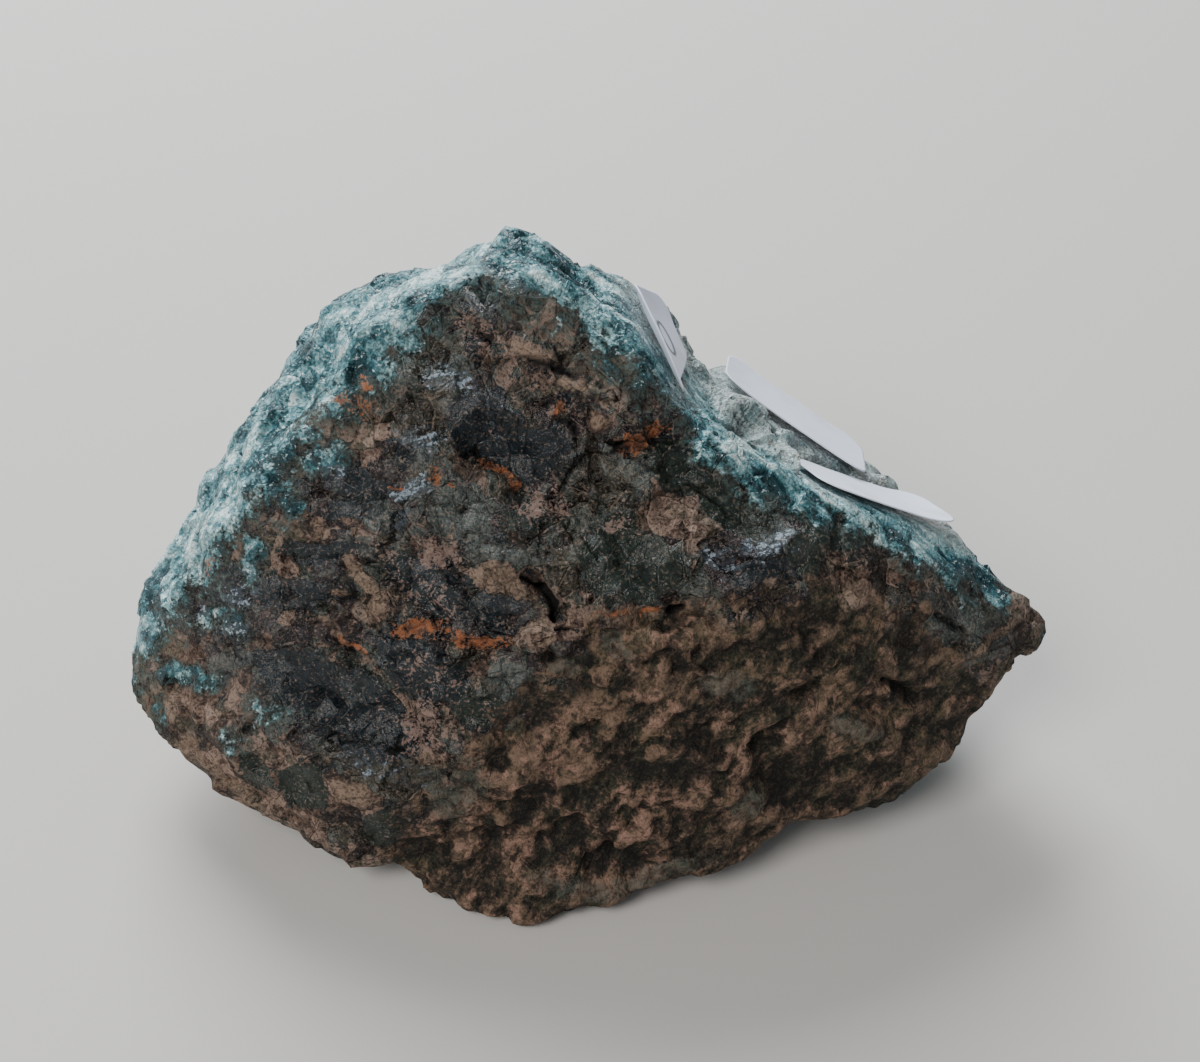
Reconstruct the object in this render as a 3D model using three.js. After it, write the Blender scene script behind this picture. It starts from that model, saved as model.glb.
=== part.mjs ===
// Raw apatite: a hand-size chunk, broken off rough on all sides, with three paper labels stuck to it.
// Millimetres, +Z up, +X towards the nose of the stone, -Y towards its broad front face.
//
// The stone is the outermost surface of a few convex lumps that run into each other, each the hull of
// the corners listed for it. Chips, cleavage steps, grains and pits then move that surface in or out
// along the line from an inner point. Each label lies on a flat seat, and the underside is flat where
// the stone rests.
import * as THREE from "three";
import { ConvexGeometry } from "three/addons/geometries/ConvexGeometry.js";
import { mergeVertices } from "three/addons/utils/BufferGeometryUtils.js";

// ---- driving dimensions ----

const MESH_DETAIL = 20; // the stone has 20 * (detail + 1)^2 triangles
const MESH_STRETCH = new THREE.Vector3(1.3, 1.0, 0.85); // evens out the triangles on the long stone
const INNER_POINT = new THREE.Vector3(-2, 3, 22); // all of the surface can be seen from here

// Corners of each lump, as [x, y, z], with the table at z = 0.
const LUMPS = {
  body: [
    // summit and the teal facet that falls from it to the right
    [-9.6, 17, 53], [-3.9, 17.2, 50.3], [-8.9, 11.2, 53], [-3.7, 10.6, 52.3],
    [1.9, 7.7, 48.8], [8.4, 1.7, 42.6], [2.7, 14.8, 47.9], [4, 16.7, 45.6], [9.2, 16.9, 38.8],
    // outer and inner edge of the sugary band along the upper left
    [-17.9, 18.9, 46.4], [-25.7, 18.6, 43.2], [-30.4, 17.2, 40.5], [-36.7, 11.5, 33.4],
    [-41, 7.2, 27.6], [-48.8, 1.3, 17.4], [-50.2, -1, 13.2],
    [-19.7, 8.3, 49.9], [-28.4, 1.8, 40.6], [-35.7, -1.4, 33.2], [-43.6, -3.5, 22.6],
    // edge between the upper front face and the grainy lower one
    [-34.5, -14.5, 18], [-16.1, -20.3, 18.5], [-8.3, -14.9, 29.6], [7.4, -12.9, 31.5], [18.7, -8.3, 32.6],
    // low front edge and the underside
    [-49, -6, 10.2], [-44.4, -11.2, 8], [-35.4, -18, 5.2], [-20, -22.4, 3.6],
    [-7.6, -21.5, 16.3], [9.5, -19.7, 17.7], [10.4, -23.8, 3.6], [23, -14.8, 20.2], [19, -19.4, 7],
    [-20, -20, 0], [8, -20, 0], [20, -8, 0], [20, 14, 0], [6, 28, 0], [-18, 24, 0], [-31, 8, 0],
    // back
    [-46, 4, 14], [-41, 13, 20], [-34, 24, 20], [-20, 36, 20], [0, 38, 19], [14, 31, 18], [22, 2, 26],
  ],
  nose: [
    // crest from the foot of the summit slope out to the tip
    [10.6, -0.7, 40.9], [14.6, -1.6, 38.6], [18.3, -1.3, 36.8], [22.9, -0.5, 34.8], [26.6, 0.3, 32.7],
    [33, 1.6, 28.3], [41.8, -0.7, 21.1], [45.8, -3.7, 18.1], [41.2, -7.9, 13.5],
    // front
    [18.7, -8.3, 33], [24.1, -14.4, 20.2], [35.9, -10.6, 9.9], [32.1, -15.9, 6], [20, -19.2, 6.9],
    // back and underside
    [26, 22, 17], [36, 11, 15], [42, 2, 14], [24, -12, 0], [24, 12, 0], [5, 0, 10], [2, 14, 24],
  ],
  leftKnee: [
    [-36, -15.4, 17.2], [-26.7, -18.6, 19.2], [-18, -20.6, 18.4], [-28, -20.5, 9], [-23.5, -23.4, 3.2],
    [-34.5, -17.4, 6.2], [-38, -13, 12], [-20, -22.8, 5], [-20, -10, 20], [-30, -5, 10],
  ],
  toe: [
    [-7, -28.4, 0], [-12, -26.4, 1.6], [-19.5, -24.4, 1.4], [-1, -26.8, 0.8], [4, -25, 2.6],
    [-6, -25, 6], [-14, -23.4, 6.5], [-15, -18, 0], [0, -18, 0],
  ],
};

// Relief laid over the lumps. Each layer of chips is a jumble of tilted flats of about one size.
const CHIP_LAYERS = [
  { size: 10, depth: 0.5, tilt: 0.4, salt: 1 },
  { size: 5, depth: 0.3, tilt: 0.5, salt: 2 },
];
const CLEAVAGE = { direction: new THREE.Vector3(0.5, -0.35, 0.79).normalize(), spacing: 6.5, depth: 0.6 };
const GRAIN = { size: 3.2, depth: 0.45, centre: new THREE.Vector3(4, -21, 12), reach: 24 };

// Ledges. The stone stands at full height up to the line through the points, drops there by the
// height, and climbs back over the run on the side that the line's open side points to.
const LEDGES = [
  { line: [[-9.4, 4, 47], [-3.3, 1, 44.5], [2.3, -1.6, 42.3]], open: [0.1, -0.7, -0.7], height: 1.3, run: 7 },
  { line: [[-11, -2, 40.5], [-7, -4, 38.5], [-3.8, -6, 37.5]], open: [0.6, 0.5, 0.6], height: 1.3, run: 6 },
  { line: [[-17.7, -5, 37], [-18.8, -7, 34], [-20, -11.6, 29]], open: [1, -0.1, 0.1], height: 1.1, run: 7 },
  { line: [[-19.5, -12.8, 28], [-9.7, -13.8, 29.5]], open: [0, 0.7, 0.7], height: 0.9, run: 7 },
  { line: [[-28, -16.4, 19.6], [-20, -18.9, 19]], open: [0, 0.5, 0.85], height: 2.2, run: 9 },
  { line: [[-15, -17, 24.5], [-11, -16.6, 26], [-6, -14, 30.5]], open: [-0.7, 0.4, 0.5], height: 1.3, run: 7 },
  { line: [[4.4, -2.8, 41], [8.4, -4, 39], [12.3, -5, 36.7]], open: [0.4, 0.6, 0.6], height: 1.3, run: 5 },
  { line: [[5, -13.8, 30.3], [11.2, -13.4, 30]], open: [0, 0.7, 0.7], height: 0.8, run: 4 },
  { line: [[21.7, -14, 22], [30, -12.3, 16.5]], open: [-0.2, -0.3, -0.9], height: 1.4, run: 5 },
  { line: [[-38, 16, 29], [-26, 25, 31], [-10, 29, 33]], open: [0, -0.5, 0.85], height: 2.6, run: 12 },
  { line: [[2, 36, 21], [6, 30, 30], [8, 23, 38]], open: [1, 0, -0.2], height: 2.2, run: 10 },
  { line: [[-24, 33, 19], [-14, 35, 15], [2, 35, 14]], open: [0, -0.3, -0.95], height: 2.2, run: 10 },
  { line: [[24, 20, 18], [34, 11, 17], [40, 3, 15]], open: [0, 0.3, -0.95], height: 1.8, run: 9 },
];

// Pits and cracks, each along a line from one end to the other.
const PITS = [
  { from: [-6.6, -10.4, 33.2], to: [-3.9, -13.2, 31], radius: 1.3, depth: 2 }, // crescent crack
  { from: [6.6, -12.6, 31], to: [7.8, -12.6, 31], radius: 1.3, depth: 1.6 }, // oval hole
  { from: [13, 6.2, 37], to: [14, 5.6, 36.4], radius: 1.6, depth: 1.6 }, // pit in the back slope
  { from: [-20.5, -24, 3], to: [-19.5, -22.6, 6.5], radius: 1.6, depth: 2.2 }, // notch beside the toe
  { from: [-20, 15.5, 48], to: [-13, 15.5, 50.5], radius: 1.4, depth: 1.3 }, // groove under the summit
  { from: [16, -17.5, 17], to: [19.4, -19.3, 9.5], radius: 1.7, depth: 1.8 }, // cleft in the lower right
  { from: [27.4, -12.3, 20.6], to: [31.1, -11.6, 16.8], radius: 1, depth: 1.2 }, // slit in the nose
];

// The stone rests on a flat pad in the middle of its underside; round it the underside is rough.
const PAD_CENTRE = new THREE.Vector2(-4, 2);
const PAD_RADIUS = 9;
const PAD_BLEND = 4;

// Paper labels: the lump that each is stuck to, its centre, the way it faces, the way it runs, its size.
const LABEL_THICKNESS = 0.4;
const LABEL_GAP = 0.35; // layer of air and glue that keeps the paper clear of the stone
const LABELS = {
  label_ridge: {
    lump: "body",
    centre: [6.3, 11.7, 42.8],
    facing: [0.79, 0.06, 0.61],
    along: [0.39, -0.82, -0.42],
    size: [12.5, 8.5],
  },
  label_slope: {
    lump: "nose",
    centre: [20.2, 16.4, 29.2],
    facing: [0.55, 0.32, 0.77],
    along: [0.83, -0.33, -0.45],
    size: [18, 11.5],
  },
  label_nose: {
    lump: "nose",
    centre: [27.3, 4.3, 29.2],
    facing: [0.38, 0.48, 0.79],
    along: [0.86, 0.13, -0.49],
    size: [16.5, 9],
  },
};
const LABEL_CORNER = 2.5;
const SEAT_MARGIN = 1.5; // the flat seat in the stone runs this far past the paper
const SEAT_BLEND = 3; // and the relief grows back over this distance

const vector = (xyz) => new THREE.Vector3(...xyz);
const { smoothstep } = THREE.MathUtils;

// ---- relief ----

/** A fixed random number from 0 to 1 for a cell of space. */
function cellRandom(i, j, k, salt) {
  let bits = Math.imul(i, 374761393) + Math.imul(j, 668265263);
  bits += Math.imul(k, 1274126177) + Math.imul(salt, 974634777);
  bits = Math.imul(bits ^ (bits >>> 13), 1103515245);
  bits = Math.imul(bits ^ (bits >>> 16), 668265263);
  return ((bits ^ (bits >>> 15)) >>> 0) / 4294967296;
}

/** The random point of the nearest cell, with the cell's own numbers. */
function nearestCell(point, size, salt) {
  const home = point.clone().divideScalar(size).floor();
  let nearest = null;
  for (let i = home.x - 1; i <= home.x + 1; i++) {
    for (let j = home.y - 1; j <= home.y + 1; j++) {
      for (let k = home.z - 1; k <= home.z + 1; k++) {
        const random = (n) => cellRandom(i, j, k, salt * 16 + n);
        const seed = new THREE.Vector3(i + random(0), j + random(1), k + random(2)).multiplyScalar(size);
        const gap = seed.distanceTo(point);
        if (!nearest || gap < nearest.gap) nearest = { seed, gap, random };
      }
    }
  }
  return nearest;
}

/** Height of a jumble of tilted flats. */
function chipHeight(point, { size, depth, tilt, salt }) {
  const { seed, random } = nearestCell(point, size, salt);
  const lean = new THREE.Vector3(random(3) - 0.5, random(4) - 0.5, random(5) - 0.5);
  return depth * (2 * random(6) - 1) + (tilt * lean.dot(point.clone().sub(seed))) / 2;
}

/** Height of cleavage steps: each rises slowly and breaks off. */
function cleavageHeight(point) {
  const wobble = 3 * (nearestCell(point, 14, 9).random(3) - 0.5);
  const steps = (point.dot(CLEAVAGE.direction) + wobble) / CLEAVAGE.spacing;
  return CLEAVAGE.depth * (steps - Math.floor(steps) - 0.5);
}

/** Height of the rounded grains on the lower front. */
function grainHeight(point) {
  const outside = smoothstep(point.distanceTo(GRAIN.centre), GRAIN.reach * 0.6, GRAIN.reach);
  const { gap } = nearestCell(point, GRAIN.size, 11);
  return (1 - outside) * GRAIN.depth * (1 - (2 * gap) / GRAIN.size);
}

/** Depth below full height that the ledges give a point. */
function ledgeDepth(point) {
  let depth = 0;
  for (const { line, open, height, run } of LEDGES) {
    const openSide = vector(open).normalize();
    let share = 0;
    for (let i = 1; i < line.length; i++) {
      const edge = new THREE.Line3(vector(line[i - 1]), vector(line[i]));
      const past = point.clone().sub(edge.closestPointToPoint(point, true, new THREE.Vector3()));
      const side = past.dot(openSide);
      const beyondEnd = Math.sqrt(Math.max(past.lengthSq() - side * side, 0));
      if (side > 0) share = Math.max(share, 1 - side / run - Math.max(beyondEnd - 1, 0) / 3);
    }
    depth += height * share;
  }
  return depth;
}

/** Depth of the pits and cracks at a point. */
function pitDepth(point) {
  let depth = 0;
  for (const pit of PITS) {
    const line = new THREE.Line3(vector(pit.from), vector(pit.to));
    const nearest = line.closestPointToPoint(point, true, new THREE.Vector3());
    depth += pit.depth * Math.exp(-((nearest.distanceTo(point) / pit.radius) ** 2));
  }
  return depth;
}

// ---- labels ----

/** A label's frame: x runs along it, y across it and z out of the stone. */
function labelFrame({ centre, facing, along }) {
  const z = vector(facing).normalize();
  const y = z.clone().cross(vector(along)).normalize();
  const x = y.clone().cross(z);
  return new THREE.Matrix4().makeBasis(x, y, z).setPosition(...centre);
}

/** A thin sheet with rounded corners, lying at the gap above its seat. */
function labelGeometry([length, width]) {
  const sheet = new THREE.BoxGeometry(length, width, LABEL_THICKNESS, 8, 6, 1);
  sheet.deleteAttribute("normal");
  sheet.deleteAttribute("uv");
  const geometry = mergeVertices(sheet, 1e-4);
  const position = geometry.getAttribute("position");
  const straight = new THREE.Vector2(length / 2 - LABEL_CORNER, width / 2 - LABEL_CORNER);
  for (let i = 0; i < position.count; i++) {
    const [x, y] = [position.getX(i), position.getY(i)];
    const past = new THREE.Vector2(Math.abs(x), Math.abs(y)).sub(straight);
    if (past.x > 0 && past.y > 0) {
      const rounded = past.clone().setLength(Math.max(past.x, past.y)).add(straight);
      position.setXY(i, Math.sign(x) * rounded.x, Math.sign(y) * rounded.y);
    }
    position.setZ(i, position.getZ(i) + LABEL_GAP + LABEL_THICKNESS / 2);
  }
  return geometry;
}

const seats = Object.values(LABELS).map((label) => ({
  inward: labelFrame(label).invert(),
  reach: new THREE.Vector2(label.size[0] / 2, label.size[1] / 2),
}));

/** How far outside the nearest label's edge a point is, in the plane of that label. */
function seatClearance(point) {
  let clearance = Infinity;
  for (const { inward, reach } of seats) {
    const local = point.clone().applyMatrix4(inward);
    if (Math.abs(local.z) > 8) continue;
    clearance = Math.min(clearance, Math.max(Math.abs(local.x) - reach.x, Math.abs(local.y) - reach.y));
  }
  return clearance;
}

/** Cuts a point back along its ray to the seat of any label that lies over it. */
function cutToSeats(point, direction) {
  for (const { inward, reach } of seats) {
    const local = point.clone().applyMatrix4(inward);
    const over = Math.max(Math.abs(local.x) - reach.x, Math.abs(local.y) - reach.y) < SEAT_MARGIN;
    if (!over || local.z <= 0 || local.z > 8) continue;
    const slope = direction.clone().transformDirection(inward).z;
    point.addScaledVector(direction, -local.z / slope);
  }
}

// ---- stone ----

/** The planes of a convex lump, each with its outward normal and its distance from the inner point. */
function facesOf(corners) {
  const hull = new ConvexGeometry(corners.map(vector));
  const points = hull.getAttribute("position");
  const faces = [];
  for (let i = 0; i < points.count; i += 3) {
    const [a, b, c] = [0, 1, 2].map((k) => new THREE.Vector3().fromBufferAttribute(points, i + k));
    const normal = b.clone().sub(a).cross(c.clone().sub(a)).normalize();
    faces.push({ normal, distance: normal.dot(a.sub(INNER_POINT)) });
  }
  return faces;
}

// The corners of a label's seat are corners of the lump that it lies on.
for (const label of Object.values(LABELS)) {
  const [reachX, reachY] = label.size.map((side) => side / 2);
  for (const [x, y] of [[-reachX, -reachY], [reachX, -reachY], [reachX, reachY], [-reachX, reachY]]) {
    LUMPS[label.lump].push(new THREE.Vector3(x, y, 0).applyMatrix4(labelFrame(label)).toArray());
  }
}

const lumpFaces = Object.values(LUMPS).map(facesOf);

/** Distance from the inner point to where a ray leaves a lump, or 0 where it misses the lump. */
function exitDistance(faces, direction) {
  let enter = 0;
  let exit = Infinity;
  for (const { normal, distance } of faces) {
    const slope = normal.dot(direction);
    if (slope > 0) exit = Math.min(exit, distance / slope);
    else if (slope < 0) enter = Math.max(enter, distance / slope);
  }
  return enter < exit ? exit : 0;
}

/** Share of the relief that stays at a point: none under a label or on the pad that the stone rests on. */
function reliefShare(point) {
  const offSeats = smoothstep(seatClearance(point), 0, SEAT_BLEND);
  if (point.z > 0.01) return offSeats;
  const fromPad = PAD_CENTRE.distanceTo(new THREE.Vector2(point.x, point.y));
  return smoothstep(fromPad, PAD_RADIUS, PAD_RADIUS + PAD_BLEND);
}

/** The stone's surface in a direction from the inner point. */
function surfacePoint(direction) {
  const reach = Math.max(...lumpFaces.map((faces) => exitDistance(faces, direction)));
  const point = direction.clone().multiplyScalar(reach).add(INNER_POINT);
  const chips = CHIP_LAYERS.reduce((sum, layer) => sum + chipHeight(point, layer), 0);
  const relief = chips + cleavageHeight(point) + grainHeight(point) - ledgeDepth(point) - pitDepth(point);
  point.addScaledVector(direction, relief * reliefShare(point));
  cutToSeats(point, direction);
  point.z = Math.max(point.z, 0);
  return point;
}

function stoneGeometry() {
  const sphere = new THREE.IcosahedronGeometry(1, MESH_DETAIL);
  sphere.deleteAttribute("normal");
  sphere.deleteAttribute("uv");
  const geometry = mergeVertices(sphere, 1e-5);
  const position = geometry.getAttribute("position");
  for (let i = 0; i < position.count; i++) {
    const direction = new THREE.Vector3().fromBufferAttribute(position, i);
    const point = surfacePoint(direction.multiply(MESH_STRETCH).normalize());
    position.setXYZ(i, point.x, point.y, point.z);
  }
  return geometry;
}

// ---- the specimen ----

const apatite = new THREE.MeshStandardMaterial({ color: 0x4c6f6e, roughness: 0.6, metalness: 0 });
const paper = new THREE.MeshStandardMaterial({ color: 0xe6e6ea, roughness: 0.85, metalness: 0 });

const specimen = new THREE.Group();
const stone = new THREE.Mesh(stoneGeometry(), apatite);
stone.name = "stone";
specimen.add(stone);
for (const [name, label] of Object.entries(LABELS)) {
  const sheet = new THREE.Mesh(labelGeometry(label.size), paper);
  sheet.name = name;
  sheet.applyMatrix4(labelFrame(label));
  specimen.add(sheet);
}

// The origin is under the middle of the specimen, on the table.
const box = new THREE.Box3().setFromObject(specimen, true);
const middle = box.getCenter(new THREE.Vector3());
specimen.position.set(-middle.x, -middle.y, -box.min.z);

export default specimen;
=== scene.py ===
"""A lump of raw, massive apatite with three paper labels stuck to it, dressed for a studio.

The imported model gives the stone's body and the labels' places. The stone's finer surface (cleavage
flats, ledges, cracks, sugary crystals and rounded grains) is worked out here with numpy over the
packed stone, and each label becomes a thin, lifted sheet of paper. All shapes are worked out in
millimetres in the row frame and written in metres.

The broad front of the stone leans back at 45 degrees, so places on it are given as face
coordinates: u runs along +X, and v runs up the face, halfway between +Y and +Z.
"""
import logging
import math
from dataclasses import dataclass, field
from enum import Enum

import bpy
import numpy as np
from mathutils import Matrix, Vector
from numpy.typing import NDArray


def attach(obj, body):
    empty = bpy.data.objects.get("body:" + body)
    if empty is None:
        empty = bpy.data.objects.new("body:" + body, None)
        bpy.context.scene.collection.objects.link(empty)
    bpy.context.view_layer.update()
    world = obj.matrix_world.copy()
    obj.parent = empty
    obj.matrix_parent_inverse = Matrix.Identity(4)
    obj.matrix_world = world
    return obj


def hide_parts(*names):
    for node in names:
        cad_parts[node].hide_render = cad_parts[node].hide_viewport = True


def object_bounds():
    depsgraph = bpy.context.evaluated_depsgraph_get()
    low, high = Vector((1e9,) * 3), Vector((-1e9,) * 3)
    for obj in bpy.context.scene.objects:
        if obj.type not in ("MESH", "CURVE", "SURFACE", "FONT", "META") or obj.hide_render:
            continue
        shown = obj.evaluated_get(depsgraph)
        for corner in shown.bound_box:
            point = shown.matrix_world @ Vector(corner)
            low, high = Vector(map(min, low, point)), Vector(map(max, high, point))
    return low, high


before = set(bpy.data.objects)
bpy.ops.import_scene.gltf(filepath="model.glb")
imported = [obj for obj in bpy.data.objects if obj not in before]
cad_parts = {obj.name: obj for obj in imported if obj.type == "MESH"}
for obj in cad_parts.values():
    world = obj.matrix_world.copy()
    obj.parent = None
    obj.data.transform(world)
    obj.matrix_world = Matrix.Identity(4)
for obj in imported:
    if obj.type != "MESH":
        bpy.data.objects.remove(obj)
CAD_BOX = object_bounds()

Array = NDArray[np.float64]
Ints = NDArray[np.int64]
Point = tuple[float, float, float]
Line = tuple[tuple[float, float], ...]
Socket = bpy.types.NodeSocket
Value = Socket | Point | str | float

log = logging.getLogger("apatite")

MM = 0.001
FACE_UP = np.array([0.0, 1.0, 1.0]) / math.sqrt(2.0)
FACE_OUT = np.array([0.0, -1.0, 1.0]) / math.sqrt(2.0)

# The fixed draws: eight numbers for each row, and the large primes that turn a cell into a row.
DRAWS = 8192
RANDOM_TABLE = np.random.default_rng(11).random((DRAWS, 8))
CELL_PRIMES = (73856093, 19349663, 83492791)
SALT_PRIME = 40503
HASH_SHIFT = 13

# How far, in mm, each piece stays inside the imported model's box.
BOX_MARGIN = 0.02


# ---- numbers and noise ----


def smooth_step(value: Array, low: float, high: float) -> Array:
    """Rise from 0 at low to 1 at high along 3 t squared less 2 t cubed."""
    t = np.clip((value - low) / (high - low), 0.0, 1.0)
    return t * t * (3.0 - 2.0 * t)


def cell_numbers(cells: Ints, salt: int) -> Array:
    """Eight fixed random numbers for each cell of space.

    The cell's three whole numbers are each multiplied by a large prime and folded together with
    exclusive or, and the result picks a row of one fixed table.

    Args:
        cells: whole-number cells, one a row.
        salt: a number that gives each use its own draw.

    Returns:
        Eight numbers from 0 to 1 a row.
    """
    x, y, z = (cells * np.array(CELL_PRIMES)).T
    key = x ^ y ^ z ^ (salt * SALT_PRIME)
    return RANDOM_TABLE[(key ^ (key >> HASH_SHIFT)) & (DRAWS - 1)]


def soft_noise(points: Array, size: float, salt: int, octaves: int = 3) -> Array:
    """Soft lumps: random values on a lattice, blended between its corners with smooth steps.

    Each further octave has half the size and half the height.

    Args:
        points: points in mm, one a row.
        size: distance between lattice points in mm.
        salt: the draw to use.
        octaves: how many layers are added.

    Returns:
        A height from -1 to 1 for each point.
    """
    total = np.zeros(len(points))
    weights = 0.0
    for octave in range(octaves):
        scaled = points / (size * 0.5**octave)
        low = np.floor(scaled).astype(np.int64)
        t = scaled - low
        t = t * t * (3.0 - 2.0 * t)
        value = np.zeros(len(points))
        for corner in np.ndindex(2, 2, 2):
            share = np.prod(np.where(np.array(corner) == 1, t, 1.0 - t), axis=1)
            value += share * cell_numbers(low + np.array(corner), salt + octave)[:, 0]
        total += 0.5**octave * (2.0 * value - 1.0)
        weights += 0.5**octave
    return total / weights


@dataclass
class Cells:
    """The random cell that each point falls in: its seed, distances in mm and eight numbers."""

    seed: Array
    gap: Array
    edge: Array
    numbers: Array


def stretched(size: float, along: Point = (1.0, 0.0, 0.0), length: float = 1.0) -> Array:
    """The 3 by 3 matrix from mm to cells of one size across, length times as long one way."""
    axis = np.array(along) / np.linalg.norm(along)
    return (np.eye(3) - (1.0 - 1.0 / length) * np.outer(axis, axis)) / size


def nearest_cells(points: Array, shape: Array, salt: int) -> Cells:
    """Find the cell that each point belongs to: the one whose random seed lies nearest.

    Every unit cell of the shaped space holds one seed. The seeds of the 27 cells round a point are
    measured, and the nearest two are kept.

    Args:
        points: points in mm, one a row.
        shape: the matrix from mm to cells, from stretched().
        salt: the draw to use.

    Returns:
        The nearest seed, the distance to it, how much further the next one is, and its numbers.
    """
    scaled = points @ shape.T
    home = np.floor(scaled).astype(np.int64)
    gap = np.full(len(points), np.inf)
    second = np.full(len(points), np.inf)
    seed = np.zeros_like(points)
    numbers = np.zeros((len(points), 8))
    for step in np.ndindex(3, 3, 3):
        cell = home + np.array(step) - 1
        drawn = cell_numbers(cell, salt)
        place = cell + 0.1 + 0.8 * drawn[:, :3]
        reach = np.linalg.norm(scaled - place, axis=1)
        closer = reach < gap
        second = np.where(closer, gap, np.minimum(second, reach))
        gap = np.where(closer, reach, gap)
        seed[closer] = place[closer]
        numbers[closer] = drawn[closer]
    size = 1.0 / np.cbrt(np.linalg.det(shape))
    return Cells(seed @ np.linalg.inv(shape).T, gap * size, (second - gap) * size, numbers)


def segment_distance(points: Array, start: Array, end: Array) -> tuple[Array, Array]:
    """Distance of points from a segment, and the offset from its nearest point.

    The nearest point lies at the share (p - start) . (end - start) / length squared, held in 0..1.

    Args:
        points: points, one a row, in two or three coordinates.
        start: one end.
        end: the other end.

    Returns:
        The distances, and the offsets from the nearest points.
    """
    run = end - start
    share = np.clip((points - start) @ run / (run @ run), 0.0, 1.0)
    offset = points - start - share[:, None] * run
    return np.linalg.norm(offset, axis=1), offset


def line_distance(points: Array, line: Array) -> Array:
    """Distance of points from the nearest segment of a line through given corners."""
    return np.min([segment_distance(points, a, b)[0] for a, b in zip(line, line[1:])], axis=0)


def outside_outline(face: Array, outline: Line) -> Array:
    """Signed distance from a closed outline on the face, positive outside it.

    The distance is the least to any edge. A point is inside when a line from it along +u crosses
    the outline an odd number of times.

    Args:
        face: face coordinates (u, v) in mm, one a row.
        outline: the outline's corners.

    Returns:
        The signed distances in mm.
    """
    corners = np.array(outline)
    distance = np.full(len(face), np.inf)
    inside = np.zeros(len(face), bool)
    for start, end in zip(corners, np.roll(corners, -1, axis=0)):
        distance = np.minimum(distance, segment_distance(face, start, end)[0])
        if start[1] == end[1]:
            continue
        spans = (start[1] > face[:, 1]) != (end[1] > face[:, 1])
        crossing = start[0] + (face[:, 1] - start[1]) * (end[0] - start[0]) / (end[1] - start[1])
        inside ^= spans & (face[:, 0] < crossing)
    return np.where(inside, -distance, distance)


def linear(hex_colour: str) -> tuple[float, float, float]:
    """Turn an sRGB hex colour into a linear one.

    A part c becomes c / 12.92 up to 0.04045, and ((c + 0.055) / 1.055) to the power 2.4 above it.

    Args:
        hex_colour: the colour, such as "#4f7f80".

    Returns:
        Linear red, green and blue.
    """
    parts = [int(hex_colour[i : i + 2], 16) / 255.0 for i in (1, 3, 5)]
    low, high = [c / 12.92 for c in parts], [((c + 0.055) / 1.055) ** 2.4 for c in parts]
    red, green, blue = [a if c <= 0.04045 else b for c, a, b in zip(parts, low, high)]
    return red, green, blue


def rgba(hex_colour: str) -> tuple[float, float, float, float]:
    """The same colour with full alpha, as a colour socket takes it."""
    return (*linear(hex_colour), 1.0)


def inside_box(points: Array) -> Array:
    """The points, in mm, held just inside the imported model's box."""
    low, high = (np.array(corner) / MM for corner in CAD_BOX)
    return np.clip(points, low + BOX_MARGIN, high - BOX_MARGIN)


# ---- meshes and shader nodes ----


def grid_quads(rows: int, columns: int) -> Ints:
    """The quads between the points of a grid, which are numbered row by row.

    Args:
        rows: how many rows of points there are.
        columns: how many points a row has.

    Returns:
        Four point numbers for each quad.
    """
    point = np.arange(rows * columns).reshape(rows, columns)
    around = [point[:-1, :-1], point[1:, :-1], point[1:, 1:], point[:-1, 1:]]
    return np.stack(around, axis=-1).reshape(-1, 4)


def make_object(name: str, points: Array, faces: Ints) -> bpy.types.Object:
    """Put points in mm and faces into a new smooth-shaded mesh object at the origin.

    Args:
        name: the object's name.
        points: points in mm, one a row.
        faces: four point numbers a row.

    Returns:
        The new object, linked to the scene.
    """
    mesh = bpy.data.meshes.new(name)
    mesh.from_pydata((points * MM).tolist(), [], faces.tolist())
    mesh.polygons.foreach_set("use_smooth", np.full(len(faces), True))
    mesh.update()
    made = bpy.data.objects.new(name, mesh)
    bpy.context.scene.collection.objects.link(made)
    return made


def vertex_rows(mesh: bpy.types.Mesh) -> tuple[Array, Array]:
    """Read where a mesh's vertices are and which way they face.

    Args:
        mesh: the mesh.

    Returns:
        The points in mm and the unit normals, one a row.
    """
    flat = np.empty(len(mesh.vertices) * 3, np.float32)
    mesh.vertices.foreach_get("co", flat)
    points = flat.astype(float).reshape(-1, 3) / MM
    mesh.vertex_normals.foreach_get("vector", flat)
    return points, flat.astype(float).reshape(-1, 3)


def write_attribute(mesh: bpy.types.Mesh, name: str, values: Array) -> None:
    """Store one number on each vertex of a mesh."""
    layer = mesh.attributes.new(name, "FLOAT", "POINT")
    layer.data.foreach_set("value", values.astype(np.float32))


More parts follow.
